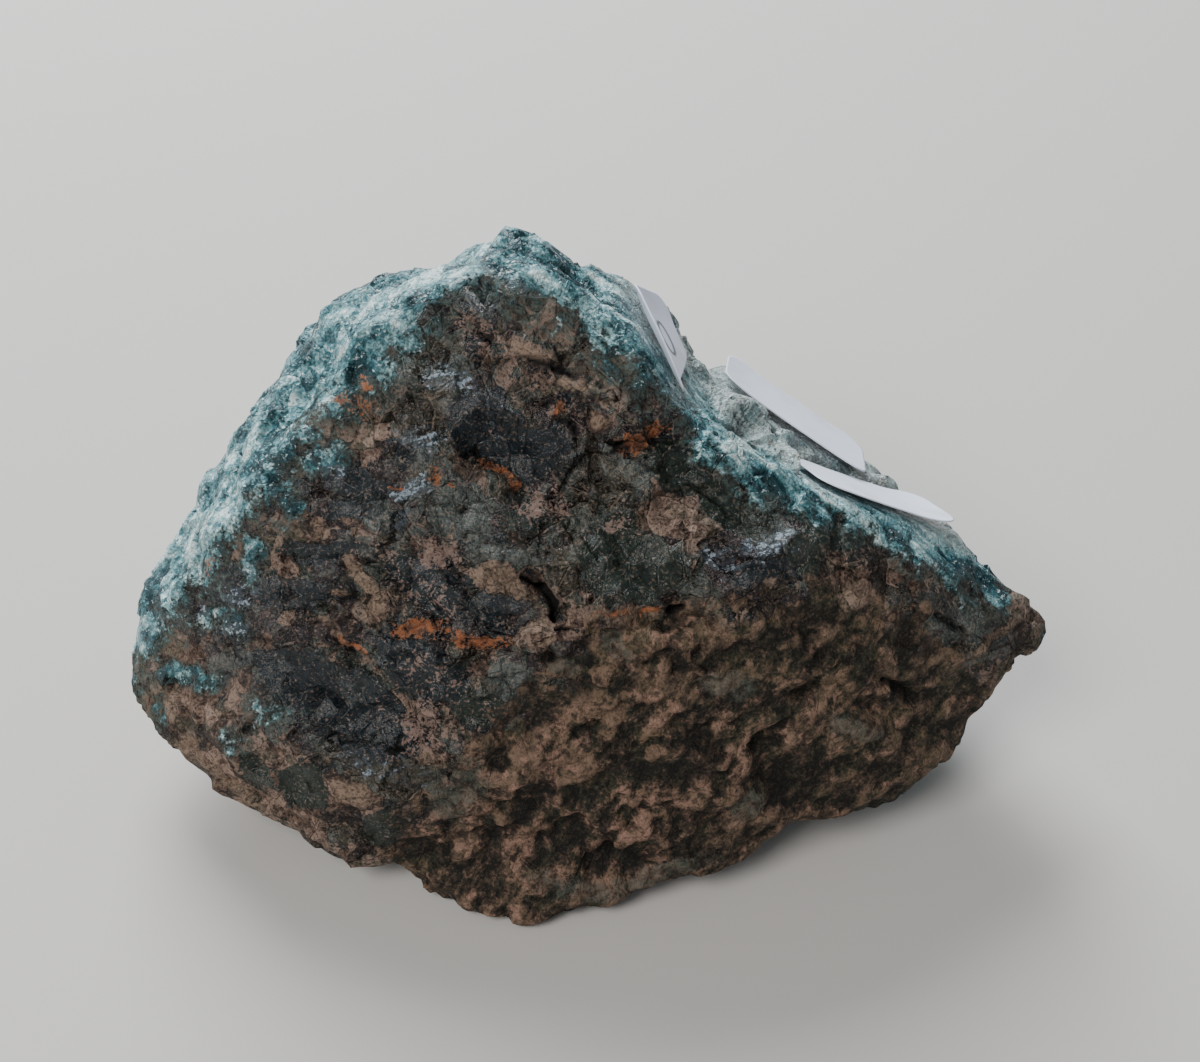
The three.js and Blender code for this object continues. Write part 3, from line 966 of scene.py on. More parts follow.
# The ovals of each kind, as the middle, half sizes, turn and strength of a Patch.
PATCHES = {
    Kind.CRYSTAL: (
        (-8.1, 26.7, 3.6, 2.7, -25, 1.3), (-9.6, 37.8, 1.6, 1.6), (-21, 21.7, 3.6, 1.6, -15, 1.2),
        (-24.6, 15.2, 3.8, 1.2), (-34.2, 11, 1.8, 1.6, 0, 1.2), (-28, 11, 4, 1.5),
        (-23.4, 0.7, 7.2, 3, -28, 1.5), (-14.3, 11.8, 4.6, 2, -30, 1.2),
        (-14.8, 3.8, 4.6, 2.4, -30, 1.2), (-3.8, 24.2, 2.8, 2.2), (-8.3, 10.2, 2.4, 1.2),
        (16.6, 13.3, 2.6, 1.2), (-21, 19, 3, 1),
    ),
    Kind.GREEN: (
        (2.6, 15, 3, 4, -10), (6.2, 12.6, 3, 2), (9.2, 23.3, 2.4, 2, -30, 1.4),
        (13.6, 20, 2.6, 1.8, -40), (16.4, 18.4, 2.6, 1.8, -20), (21, 14.4, 2, 2),
        (-26.8, -7.8, 2.4, 1.9, 0, 1.2), (-19.2, -12.2, 2, 2.2, 0, 1.2),
        (24.4, 16.2, 3.2, 1.1, -10), (-4.9, 18.2, 3, 2.4, -30, 0.5), (-32, -6.4, 1.6, 1.6),
        (-8.8, 0.1, 2.6, 1.4),
    ),
    Kind.PALE: (
        (-14.2, 33.2, 3, 2.2), (-15.4, 28, 3, 1.6), (-10.8, 19.4, 4.6, 2.2, -57, 0.9),
        (-8.3, 15, 2.6, 0.9, -15, 1.3), (-18.6, 17.5, 1.4, 1.2), (-4.6, 26.4, 1.8, 1.6),
        (2.8, 22, 3.8, 1.8, -20), (-1.2, 15, 1.6, 3), (-11, 5.6, 1.8, 1.2), (-6.4, 2.4, 2.6, 1.6),
        (-23.5, -12.8, 2.4, 1.1, 0, 0.6), (-19.6, -5.2, 5.8, 1.5, -20, 1.8),
        (33, 9.6, 4.6, 1.8, -15), (39.6, 7.6, 3.4, 3, -30, 1.2),
    ),
    Kind.FILM: (
        (-28.5, -4.2, 2.6, 1.6, 0, 0.8), (-34.6, -6.4, 2, 2.4, -30, 0.9), (-2, 37, 4.4, 1.8, -35),
        (-5.2, 31, 3.4, 1.6, -30), (1.6, 31.6, 4, 2, -38), (5.6, 28.6, 3.4, 1.6, -38),
        (-21.6, 27.6, 4.2, 2.5, -20), (-11, 23.6, 2, 1.9), (-6.6, 19, 3.4, 2.8),
        (-27.5, 17.6, 3.2, 1.8), (-34.1, 15, 1.8, 2.2, -30), (-24.4, 8, 3.4, 1, -6),
        (-30.2, 6.4, 1.6, 1), (-41.8, 5.4, 3.4, 2, 0, 1.2), (-37.8, -3.2, 3, 2.6, 0, 1.2),
        (7.4, 18.4, 3.6, 2.6), (11, 16.6, 2, 1.4), (-22.5, -8.4, 2.4, 1.8), (-30, -11, 4, 1.8, -35),
        (27.5, 9.5, 3.6, 2.4, -20), (44, 5, 5, 4.2, 0, 1.3), (23, 12.4, 3, 1.6),
        (-10, -1, 2.4, 1.6),
    ),
    Kind.TAN: (
        (-29.6, -10.4, 2.2, 1, -35, 0.7), (-41.6, 5, 3, 1.4, -10, 0.7),
        (-7.2, 12.2, 3.4, 1.1, -32, 1.2), (-4.6, 8, 1.8, 1.3), (-15.6, -1.2, 1.6, 2.4, -20, 0.6),
        (-21.5, -8, 2.2, 1.4), (-43, -0.8, 3, 2, 0, 0.9), (-40.4, -5.2, 2.6, 1.6, 0, 0.9),
        (0.9, 26.9, 2, 1, -20), (-0.6, 30.6, 1.8, 0.7, -25), (-4.8, 34.2, 1.6, 0.7, -20),
        (5.4, 9.2, 3.8, 0.9, 4), (27, 10.6, 5.6, 2, -12, 0.6), (-35, -8.6, 5, 2.2, -38, 0.6),
        (-19.6, 9.3, 1, 0.8), (-24.2, 17.6, 1.6, 1.2), (-14.6, -4.8, 1.6, 1.2),
    ),
    Kind.GLINT: (
        (-12.2, 31, 2.4, 1.3, -20), (-15.2, 21.2, 2.6, 0.9, 18, 1.3), (-16, 17.8, 0.7, 2.2, -25),
        (-14.6, 26, 2.6, 1.2, -10), (-22.8, 22.7, 1.4, 0.8), (-33.2, 10.4, 2, 1.2),
        (-33.8, 7.4, 1.6, 1.2), (-32, 12.8, 1.2, 1.2), (17.2, 15.8, 3.4, 1.5, 8, 0.95),
        (12.6, 14.2, 2.4, 1.4, 8), (-37.1, 9.1, 1.2, 1), (-19.4, -5.2, 5.4, 1.2, -20, 0.8),
    ),
    Kind.PINK: (
        (-1, -11, 12, 6.5, 14), (5, -2, 12, 4, 4, 0.7), (-9.2, 35, 3, 1.4, -35),
        (-13, 14.8, 2, 1.5, -20, 1.3), (-14.3, 11, 4, 2, -30, 0.7), (-14, 3.8, 4, 2, -30, 0.6),
        (-18.4, 14.6, 1.8, 1), (-3.4, 19.6, 2.6, 1.8), (3, 17.6, 2, 1),
        (-15, -1.8, 2.2, 2.6, -20, 1.1), (-2.2, 28.6, 1.2, 1),
    ),
    Kind.RUST: (
        (5.6, 25.3, 1.3, 0.8, 20, 1.2), (7.6, 26.6, 1, 0.5), (-15, 7.8, 2.4, 0.8, 6, 1.3),
        (-9.6, 6.9, 2.8, 0.8, -8, 1.3), (3.4, 9.2, 1.6, 0.4, 12), (7.4, 9.6, 1, 0.5),
        (-36.4, 13.4, 0.8, 0.9, 0, 0.7), (-21, 29.6, 2.2, 1.1, -20, 0.54),
        (-19.6, 31.6, 0.8, 1.2, 0, 0.54), (-12.8, 22.4, 1, 1.2, 0, 0.54), (-1.9, 28.5, 0.5, 0.8),
    ),
    Kind.TEAL: (
        (-39.8, 2.2, 4.8, 2, 0, 0.72), (-43.6, -1.6, 1.6, 3, 0, 0.5), (-45.5, 7, 2.6, 3.4),
        (-36, 8.6, 2.2, 1.6, 0, 0.7), (-29.8, -1, 4.4, 1.8, 0, 0.56),
        (-33.3, -3.2, 2, 2.4, 0, 0.56), (-24, 23.8, 3.4, 1.8, 20, 0.74),
        (-27.8, 19.6, 2.2, 1.4, 0, 0.74), (-31.6, 13.8, 1.8, 3, 0, 0.74),
        (-34, 7.8, 2.2, 2, 0, 0.68), (37.6, 10.4, 3, 1.8, -35, 0.5),
        (41.4, 11.2, 3.6, 1.5, -40, 0.9), (-16, 34.4, 2.2, 1.4, 0, 0.6),
    ),
    Kind.DEEP: (
        (-31.8, 23.1, 1.9, 1.4, 0, 1.3), (-28.6, 22.8, 1.4, 1.3, 0, 1.3),
        (-29.4, 20.6, 1.5, 0.9, 30, 1.2), (-11.4, 38.2, 1.8, 1.2), (-13.8, 36.8, 1.6, 1.8),
        (-7.4, 41.6, 2.2, 0.8, -30), (-5.6, 43.4, 2.6, 1.2, -10, 0.6), (18.4, 20, 1.4, 1.2),
        (39.1, 12.6, 3, 0.9, -30),
    ),
    # On the right crest these white marks are partly painted highlight, partly white crystal.
    Kind.WHITE: (
        (-34.8, 17, 1.2, 1.2), (-27, 26.2, 1.4, 0.8, 45), (-24.6, 21.8, 0.9, 0.9),
        (25.6, 19, 1.2, 0.5, -30), (31.6, 15.2, 1.4, 0.7, -30), (14.6, 23.2, 3, 0.8, -25, 0.5),
        (22, 20, 3, 0.9, -20, 0.5), (-40.6, 13.4, 2.4, 3.6, 0, 1.3), (-33.4, 26.4, 1.4, 2, -40),
        (-27, 27.6, 1.6, 1.2, 45, 0.8), (-23, 25, 1.6, 0.7, 20), (27.6, 18.4, 5.6, 1.9, -20, 1.5),
        (33.6, 15.8, 3.4, 1.4, -30, 0.9), (5, 35.2, 3.4, 1.8, -40, 1), (-36.6, 8.4, 1.6, 1.6),
    ),
    # The named gaps sit lower and are darkened with painted shade.
    Kind.GAP: (
        (15.2, 26.8, 1.1, 0.9, 0, 1.6), (44.8, 5.2, 3.2, 3, 0, 0.8), (-2.9, 5, 0.9, 0.7),
        (0.4, 5, 0.9, 0.8), (-0.7, 2.1, 1.8, 0.8, -10), (11.5, -3.2, 2.2, 0.7, 12),
        (-4.2, -8.1, 1.4, 0.8), (-5.9, -10.4, 1.3, 1.9, -30), (-1.2, -8, 1.8, 1),
        (4.1, -14.7, 2.4, 1.5), (-1.4, -13, 1.4, 1.8, -20), (-8.4, -12.8, 1.4, 1.4),
        (9.6, -6.4, 3, 0.8, 10), (20.4, -8.4, 1, 2.2, 14), (4, -6.2, 3, 0.6, 6),
    ),
    Kind.LUMP: (
        (16.9, -9.6, 1.8, 1.6), (-1.9, 4.1, 1.2, 1.1), (3.6, 6, 1.4, 1.4), (0, -18.6, 6, 1.4, -10),
        (8, -17, 6, 1.2, 14), (26, -2, 3.6, 1.4, -14), (37, 9, 2.8, 1.4, -30),
        (-12, -7.4, 3, 4, -20), (14, 3, 3, 1.4),
    ),
}

LEDGES = (
    Ledge(
        ((-7.6, 32.6), (-4.6, 33.4), (-3.2, 33.0), (-0.6, 31.6), (0.4, 31.6), (3.4, 29.4)),
        height=0.55, run=4.0, dark=0.7,
    ),
    Ledge(((-4.6, 29.6), (-2.4, 29.0), (-1.0, 27.4), (-0.6, 25.8)), 0.4, 3.0, 0.4),
    Ledge(((2.4, 25.2), (4.7, 24.8), (6.6, 24.6), (7.6, 25.6), (9.8, 24.6)), 0.6, 4.0, 0.7),
    Ledge(((-5.6, 21.2), (-7.4, 22.9), (-9.4, 24.4)), 0.5, 5.0, 0.2),
    Ledge(((-3.6, 17.6), (-3.9, 14.8), (-3.4, 12.8)), 0.3, 2.5, 0.3),
    Ledge(((-18.6, 7.0), (-12.4, 6.8), (-6.6, 5.6)), 0.4, 4.0, 0.0),
    Ledge(((-26.2, -1.8), (-21.0, -3.1), (-16.4, -4.0)), 0.7, 6.0, 0.8),
    Ledge(((-23.6, 6.4), (-20.0, 4.8)), 0.4, 4.0, 0.2),
    Ledge(((-13.8, -0.2), (-11.0, -2.6), (-8.4, -0.6)), 0.35, 4.0, 0.2),
    Ledge(((2.0, 8.0), (7.6, 8.0), (9.6, 9.0), (12.4, 9.0)), 0.35, 3.0, 0.2),
    Ledge(((-27.4, 14.2), (-22.0, 14.6), (-18.0, 12.8)), 0.4, 4.0, 0.2),
    Ledge(((-24.6, 20.2), (-20.6, 19.6), (-16.4, 20.4)), 0.4, 4.0, 0.2),
    Ledge(((9.6, 19.6), (14.0, 17.2), (18.0, 16.8)), 0.4, 4.0, 0.2),
    Ledge(((-28.0, 9.4), (-23.6, 9.6), (-19.8, 8.0)), 0.35, 4.0, 0.2),
    Ledge(((-36.0, 9.4), (-33.0, 8.6)), 0.4, 3.0, 0.2),
)

# Seams of the GAP kind are cut in and darkened with painted shade.
SEAMS = (
    Seam(Kind.GAP, ((-5.4, 12.7), (-4.4, 12.3), (-3.6, 11.8)), 0.2, 0.6),
    Seam(Kind.GAP, ((-3.9, 12.0), (-3.1, 11.3), (-2.5, 10.2), (-2.3, 9.2)), 0.36, 1.5),
    Seam(Kind.GAP, ((-2.2, 7.8), (-1.0, 8.0)), 0.18, 0.6),
    Seam(Kind.GAP, ((8.7, 9.5), (9.6, 9.7)), 0.34, 1.0),
    Seam(Kind.GAP, ((29.6, 2.4), (31.4, 1.5), (33.0, 0.2)), 0.4, 1.0),
    Seam(Kind.GAP, ((-4.8, 33.2), (-2.4, 32.4), (-0.4, 31.4)), 0.35, 0.8),
    Seam(Kind.GAP, ((-2.4, 27.9), (-1.0, 27.0), (-0.6, 26.0)), 0.3, 0.5),
    Seam(Kind.GAP, ((3.0, 25.1), (4.6, 24.7)), 0.3, 0.6),
    Seam(Kind.GAP, ((34.6, 8.8), (36.4, 7.9), (38.0, 7.2)), 0.35, 0.8),
    Seam(Kind.GAP, ((-9.6, 24.6), (-9.0, 23.9)), 0.2, 0.3),
    Seam(Kind.GAP, ((-23.0, 10.4), (-21.6, 10.8)), 0.2, 0.4),
    Seam(Kind.TAN, ((-22.0, 15.0), (-21.6, 13.6), (-20.3, 12.0), (-19.3, 10.8)), 0.6, -0.3),
    Seam(Kind.TAN, ((-37.4, -6.8), (-33.0, -9.8)), 0.8),
    Seam(Kind.TAN, ((39.6, 5.0), (42.0, 7.0), (44.4, 8.4)), 0.6),
    Seam(Kind.TAN, ((-28.6, 12.4), (-25.6, 11.4), (-22.4, 11.0)), 0.4, -0.2),
    Seam(Kind.TAN, ((-4.4, 6.6), (-3.4, 6.4), (-2.4, 7.2)), 0.4, -0.2),
    Seam(Kind.RUST, ((-8.9, 23.5), (-7.6, 22.9), (-5.8, 21.4)), 0.5, -0.3),
    Seam(Kind.RUST, ((-23.0, 6.8), (-21.8, 6.3), (-20.4, 5.4)), 0.4, -0.2),
    Seam(Kind.RUST, ((-18.0, 21.2), (-16.6, 20.9)), 0.2),
    Seam(Kind.WHITE, ((-29.2, 25.4), (-30.3, 22.6), (-30.9, 20.7), (-32.1, 18.4)), 0.5, -0.25),
    Seam(
        Kind.WHITE, ((-7.6, 42.8), (-3.6, 41.2), (0.2, 38.6), (4.6, 34.6), (7.6, 32.6)), 0.7, -0.35
    ),
    Seam(Kind.WHITE, ((-19.6, 39.2), (-14.6, 41.2), (-11.0, 44.4)), 1.3, -0.2),
    # This white seam along the right crest edge is partly a painted highlight.
    Seam(Kind.WHITE, ((12.4, 26.4), (17.0, 23.6), (21.6, 21.6), (25.6, 19.6)), 0.9, -0.25),
    Seam(Kind.DEEP, ((-20.6, 40.4), (-17.0, 41.6), (-14.2, 43.4)), 0.6, 0.35),
    Seam(Kind.DEEP, ((-5.0, 43.6), (-1.0, 41.8), (3.0, 38.6)), 0.6, 0.3),
)


# ---- the stone's body ----


@dataclass
class ApatiteStone:
    """The chunk itself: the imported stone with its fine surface, and what each spot is made of."""

    name: str = "apatite_stone"
    node: str = "stone"
    slot: str = "apatite"
    inner_point: Point = (-0.1, -1.8, 22.0)
    cells_a_side: int = 127
    long: Point = (1.3, 1.0, 0.85)
    front_share: float = 0.4
    smoothing: int = 5
    finish: ApatiteFinish = field(default_factory=ApatiteFinish)

    def directions(self) -> tuple[Array, Ints]:
        """Lay a square grid over the six sides of a cube and turn its points into directions.

        A side's grid runs over equal angles: a coordinate t from 0 to n becomes
        tan((t / n - 1/2) * 90 degrees). The directions are drawn out along the long axes of the
        stone, and shifted towards the front, where the points then lie closer together.

        Returns:
            Unit directions, one a row, and the grid's quads with their outsides outward.
        """
        n = self.cells_a_side
        i, j = np.meshgrid(np.arange(n + 1), np.arange(n + 1), indexing="ij")
        ring = grid_quads(n + 1, n + 1)
        lattice, quads = [], []
        for axis in range(3):
            for side in (0, n):
                sheet = np.empty((n + 1, n + 1, 3), np.int64)
                sheet[..., axis] = side
                sheet[..., (axis + 1) % 3] = i
                sheet[..., (axis + 2) % 3] = j
                quads.append((ring if side else ring[:, ::-1]) + len(lattice) * (n + 1) ** 2)
                lattice.append(sheet.reshape(-1, 3))
        points = np.concatenate(lattice)
        keys = points @ np.array([1, n + 1, (n + 1) ** 2])
        _, first, welded = np.unique(keys, return_index=True, return_inverse=True)
        cube = np.tan((points[first] / n - 0.5) * (math.pi / 2.0))
        way = cube / np.linalg.norm(cube, axis=1, keepdims=True) * np.array(self.long)
        way += self.front_share * FACE_OUT
        return way / np.linalg.norm(way, axis=1, keepdims=True), welded[np.concatenate(quads)]

    def wrapped(self) -> tuple[Array, Array, Ints]:
        """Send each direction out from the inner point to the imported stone, and smooth the facets.

        Returns:
            Points in mm, their outward normals, and the quads.
        """
        way, quads = self.directions()
        seed = make_object("seed", np.array(self.inner_point) + way, quads)
        wrap = seed.modifiers.new("to_the_stone", "SHRINKWRAP")
        wrap.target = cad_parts[self.node]
        wrap.wrap_method = "PROJECT"
        wrap.use_positive_direction = True
        wrap.use_negative_direction = False
        soften = seed.modifiers.new("soften_facets", "SMOOTH")
        soften.factor = 0.5
        soften.iterations = self.smoothing
        graph = bpy.context.evaluated_depsgraph_get()
        points, normals = vertex_rows(seed.evaluated_get(graph).data)
        mesh = seed.data
        bpy.data.objects.remove(seed)
        bpy.data.meshes.remove(mesh)
        return points, normals, quads

    def build(self, labels: "list[PaperLabel]") -> bpy.types.Object:
        """Make the stone's piece.

        Args:
            labels: the labels, under which the stone stays flat.

        Returns:
            The finished piece.
        """
        base, normals, quads = self.wrapped()
        ground = self.ground(base, normals)
        height = self.relief(ground)
        depth, marks = self.steps(ground)
        clear = np.ones(len(base))
        for label in labels:
            clear = np.minimum(clear, smooth_step(label.clearance(base), 0.3, 2.5))
        rests = smooth_step(base[:, 2], 0.05, 1.2)
        moved = base + normals * ((height - depth) * clear * rests)[:, None]
        for label in labels:
            moved = label.keep_below(moved)
        moved = inside_box(moved)
        moved[base[:, 2] < BOX_MARGIN, 2] = 0.0
        made = make_object(self.name, moved, quads)
        made.data.set_sharp_from_angle(angle=math.radians(38.0))
        for name, value in self.make_up(ground, marks, clear).items():
            write_attribute(made.data, name, value)
        made.data.materials.append(self.finish.material())
        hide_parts(self.node)
        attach(made, "root")
        return made

    def ground(self, base: Array, normals: Array) -> Ground:
        """Work out, for every point, where it lies and which ground it belongs to.

        Args:
            base: points on the smooth stone.
            normals: their outward normals.

        Returns:
            The points' ground.
        """
        face = np.stack([base[:, 0], base @ FACE_UP], axis=1)
        to_front = normals @ FACE_OUT
        warp = np.stack([soft_noise(base, 5.0, s, 2) for s in (201, 204, 207)], axis=1)
        fine = np.stack([soft_noise(base, 1.6, s, 2) for s in (211, 214, 217)], axis=1)
        torn = face + 1.1 * warp[:, :2] + 0.6 * fine[:, :2]
        outer = outside_outline(torn, FRONT_OUTLINE)
        behind = smooth_step(to_front, -0.05, -0.35)
        back_teal = np.clip(0.85 + 2.2 * soft_noise(base, 14.0, 221, 3), 0.0, 1.0)
        fade = 8.0 - 3.5 * smooth_step(face[:, 0], 4.0, 12.0)
        rimward = np.clip(0.5 + outer / fade, -0.6, 1.4) * (1.0 - behind) + behind * back_teal
        sugar = smooth_step(face[:, 0], -7.0, -13.0)
        narrow = 1.2 * smooth_step(face[:, 0], 8.0, 16.0)
        slope = smooth_step(outer + narrow, 3.5, 6.0) * smooth_step(face[:, 0], 2.0, 7.0)
        greyer = 0.9 * smooth_step(soft_noise(base, 9.0, 227, 3), -0.2, 0.2)
        slope = np.maximum(slope * (1.0 - behind), behind * greyer)
        grain = np.clip(0.5 - outside_outline(torn, GRAIN_OUTLINE) / 7.0, 0.0, 1.0)
        back_grain = smooth_step(soft_noise(base, 11.0, 224, 2), -0.1, 0.2)
        grain = np.maximum(grain * (1.0 - behind), behind * back_grain)
        bent = base + 0.8 * warp
        on_front = smooth_step(to_front, -0.1, 0.15)
        fields = self.fields(torn, on_front)
        return Ground(
            base=base,
            face=face,
            torn=torn,
            on_front=on_front,
            rimward=np.maximum(rimward, 1.6 * fields[Kind.TEAL] - 0.5),
            teal=np.maximum(np.clip(rimward, 0.0, 1.0), fields[Kind.TEAL]),
            sugar=sugar,
            slope=slope,
            grain=grain,
            plates=nearest_cells(bent, stretched(7.0, (1.0, 0.0, 0.0), 1.5), 31),
            flats=nearest_cells(bent, stretched(3.1, (1.0, 0.1, 0.0), 1.35), 32),
            chips=nearest_cells(base, stretched(1.25), 33),
            beads=nearest_cells(base + 0.5 * fine, stretched(1.9, (0.75, 0.46, 0.46), 1.35), 34),
            crystals=nearest_cells(base, stretched(0.95), 35),
            splints=nearest_cells(base, stretched(1.2, (0.75, -0.35, -0.56), 5.0), 36),
            fields=fields,
        )

    def fields(self, torn: Array, on_front: Array) -> dict[Kind, Array]:
        """How strongly the patches of each kind claim each point of the front.

        Args:
            torn: face coordinates in mm, shifted by noise.
            on_front: the share of each point that lies on the front.

        Returns:
            A share for each kind.
        """
        claims = {kind: np.zeros(len(torn)) for kind in Kind}
        for kind, ovals in PATCHES.items():
            for oval in ovals:
                claims[kind] = np.maximum(claims[kind], Patch(*oval).share(torn) * on_front)
        return claims

    def relief(self, ground: Ground) -> Array:
        """Height of the fine surface above the smooth stone, in mm.

        A flat of the mosaic is a plane through its seed: a random height plus the random lean times
        the way from the seed. Grains are round lumps, whose height is the same field that colours
        their tops. Splints and sugar crystals are small flats with random heights.

        Args:
            ground: the points' ground.

        Returns:
            The heights.
        """

        def leaning(cells: Cells, depth: float, tilt: float) -> Array:
            """A random height plus a random lean from the cell's seed.

            Args:
                cells: the points' cells.
                depth: the greatest random height in mm.
                tilt: how steeply the flats lean.

            Returns:
                The heights in mm.
            """
            lean = cells.numbers[:, 3:6] - 0.5
            way = ground.base - cells.seed
            return depth * (2.0 * cells.numbers[:, 6] - 1.0) + tilt * np.sum(lean * way, axis=1)

        glassy = self.glassy(ground)
        broken = leaning(ground.plates, 0.16, 0.12)
        small = leaning(ground.flats, 0.16, 0.3) + leaning(ground.chips, 0.06, 0.3)
        small += 0.1 * soft_noise(ground.base, 0.9, 241, 2)
        broken = broken * (1.0 - 0.4 * glassy) + small * (1.0 - 0.85 * glassy)
        grains = 0.75 * (self.grain_level(ground) - 0.6)
        grains += 0.2 * soft_noise(ground.base, 0.8, 245, 2)
        grains *= 1.0 - 0.4 * smooth_step(ground.face[:, 0], 8.0, 22.0)
        grains += leaning(ground.flats, 0.06, 0.1)
        hollows = self.hollows(ground)
        sugary = leaning(ground.flats, 0.1, 0.3) + leaning(ground.crystals, 0.05, 0.4)
        sugary -= 0.25 * hollows
        splinted = leaning(ground.splints, 0.2, 0.25) + leaning(ground.flats, 0.15, 0.25)
        rim = sugary * ground.sugar + splinted * (1.0 - ground.sugar)
        mosaic = (1.0 - ground.teal) * (1.0 - ground.grain)
        return mosaic * broken + ground.grain * (1.0 - ground.teal) * grains + ground.teal * rim

    def glassy(self, ground: Ground) -> Array:
        """How much of each point is a large bare crystal face."""
        glassy = np.maximum(ground.fields[Kind.CRYSTAL], ground.fields[Kind.GREEN])
        return smooth_step(glassy, 0.25, 0.75)

    def hollows(self, ground: Ground) -> Array:
        """The hollows of the sugary rim, 3 to 4 mm across: 0 on its crumbs and 1 in its pits."""
        pits = smooth_step(-soft_noise(ground.base, 3.4, 243, 2), 0.15, 0.5)
        return np.maximum(pits, 0.8 * np.clip(ground.fields[Kind.DEEP], 0.0, 1.0))

    def grain_level(self, ground: Ground) -> Array:
        """How high the grains of the lower front stand, from 0 in a gap to 1 on a top.

        Broad and fine lumps drawn out up to the right are added to round beads, less the named
        gaps, and mapped smoothly to 0..1.

        Args:
            ground: the points' ground.

        Returns:
            The levels.
        """
        drawn = ground.base @ stretched(1.0, (0.75, 0.46, 0.46), 1.3).T
        lumps = 0.4 * soft_noise(drawn, 3.4, 251, 2) + 0.85 * soft_noise(drawn, 1.6, 254, 2)
        beads = 0.3 * (1.0 - (ground.beads.gap / 1.05) ** 2)
        named = 0.3 * ground.fields[Kind.LUMP] - 0.6 * ground.fields[Kind.GAP]
        return smooth_step(lumps + beads + named, -0.5, 0.45)

    def steps(self, ground: Ground) -> tuple[Array, dict[Kind, Array]]:
        """Depth that the ledges and seams take from the front, and the marks that they leave.

        On a ledge's open side the depth is its height times 1 - side / run, where side is the
        distance from its line. A seam's depth falls off as exp(-(distance / width) squared).

        Args:
            ground: the points' ground.

        Returns:
            The depth in mm, and a share for each kind of mark.
        """
        face = 0.85 * ground.face + 0.15 * ground.torn
        depth = np.zeros(len(face))
        marks = {kind: np.zeros(len(face)) for kind in Kind}
        for ledge in LEDGES:
            line = np.array(ledge.line)
            nearest = np.full(len(face), np.inf)
            side, beyond = np.zeros(len(face)), np.zeros(len(face))
            for start, end in zip(line, line[1:]):
                distance, offset = segment_distance(face, start, end)
                run = (end - start) / np.linalg.norm(end - start)
                closer = distance < nearest
                nearest = np.where(closer, distance, nearest)
                side = np.where(closer, offset @ np.array([-run[1], run[0]]), side)
                beyond = np.where(closer, np.abs(offset @ run), beyond)
            is_open = side > 0.0
            drop = np.clip(1.0 - side / ledge.run - beyond / 1.5, 0.0, 1.0)
            depth += ledge.height * is_open * drop
            # Painted shadow on the open side, just past the drop.
            shade = is_open * np.clip(1.0 - side / 0.5 - beyond / 0.4, 0.0, 1.0)
            shade = ledge.dark * smooth_step(shade, 0.0, 0.9)
            marks[Kind.GAP] = np.maximum(marks[Kind.GAP], shade)
        close = 0.75 * ground.face + 0.25 * ground.torn
        for seam in SEAMS:
            reach = line_distance(close, np.array(seam.line))
            share = np.exp(-((reach / seam.width) ** 2))
            depth += seam.depth * share
            marks[seam.kind] = np.maximum(marks[seam.kind], smooth_step(share, 0.2, 0.8))
        marks = {kind: mark * ground.on_front for kind, mark in marks.items()}
        return depth * ground.on_front, marks

    def make_up(self, ground: Ground, marks: dict[Kind, Array], clear: Array) -> dict[str, Array]:
        """What each point is made of, as the attributes that the material reads.

        Args:
            ground: the points' ground.
            marks: the marks of the ledges and seams.
            clear: 0 under a label, 1 away from it.

        Returns:
            A value for each point under each attribute's name.
        """
        claims, chance = ground.fields, ground.flats.numbers
        either = {kind: np.maximum(claims[kind], marks[kind]) for kind in Kind}
        film = 0.5 + 0.25 * (chance[:, 2] - 0.5) + 0.2 * (ground.plates.numbers[:, 2] - 0.5)
        film += 0.25 * soft_noise(ground.base, 6.0, 231, 2)
        bare = [claims[kind] for kind in (Kind.CRYSTAL, Kind.GREEN, Kind.PALE, Kind.GLINT)]
        film += 0.4 * claims[Kind.FILM] + 0.8 * either[Kind.TAN]
        film -= 0.8 * np.max(bare, axis=0)
        film += 0.2 * (1.0 - ground.on_front) + 0.12 * smooth_step(ground.face[:, 0], 0.0, 14.0)
        film -= 0.1 * smooth_step(ground.face[:, 1], 14.0, 26.0)
        film += 0.16 * smooth_step(ground.face @ np.array([-0.6, -0.8]), 14.0, 22.0)
        mosaic = (1.0 - ground.teal) * (1.0 - ground.grain)
        # The hollow attribute is painted shade: ledge shadows, gap seams, dark lines on some flat
        # edges and named gaps.
        gaps = smooth_step(ground.flats.edge, 0.4, 0.0) * mosaic * (chance[:, 1] > 0.55)
        level = self.grain_level(ground)
        hollow = np.maximum(np.maximum(marks[Kind.GAP], 0.2 * gaps), 0.5 * claims[Kind.GAP])
        return {
            "tone": chance[:, 7],
            "pale": claims[Kind.PALE],
            "green": claims[Kind.GREEN],
            "film": film,
            "tan": either[Kind.TAN],
            "pink": claims[Kind.PINK],
            "rust": either[Kind.RUST],
            "glint": claims[Kind.GLINT],
            "teal": ground.rimward,
            "sugar": ground.sugar,
            "slope": ground.slope,
            # The sugary rim's pits are darker teal, partly painted shade; named deep marks are dark
            # clear crystal.
            "deep": np.maximum(self.hollows(ground), either[Kind.DEEP]),
            "white": either[Kind.WHITE],
            "grain": ground.grain,
            "top": level - 0.14 * smooth_step(ground.face[:, 0], 6.0, 24.0),
            "lump": claims[Kind.LUMP],
            "hollow": np.clip(hollow * clear, 0.0, 0.97),
            "smooth": self.glassy(ground),
        }


# ---- the labels ----


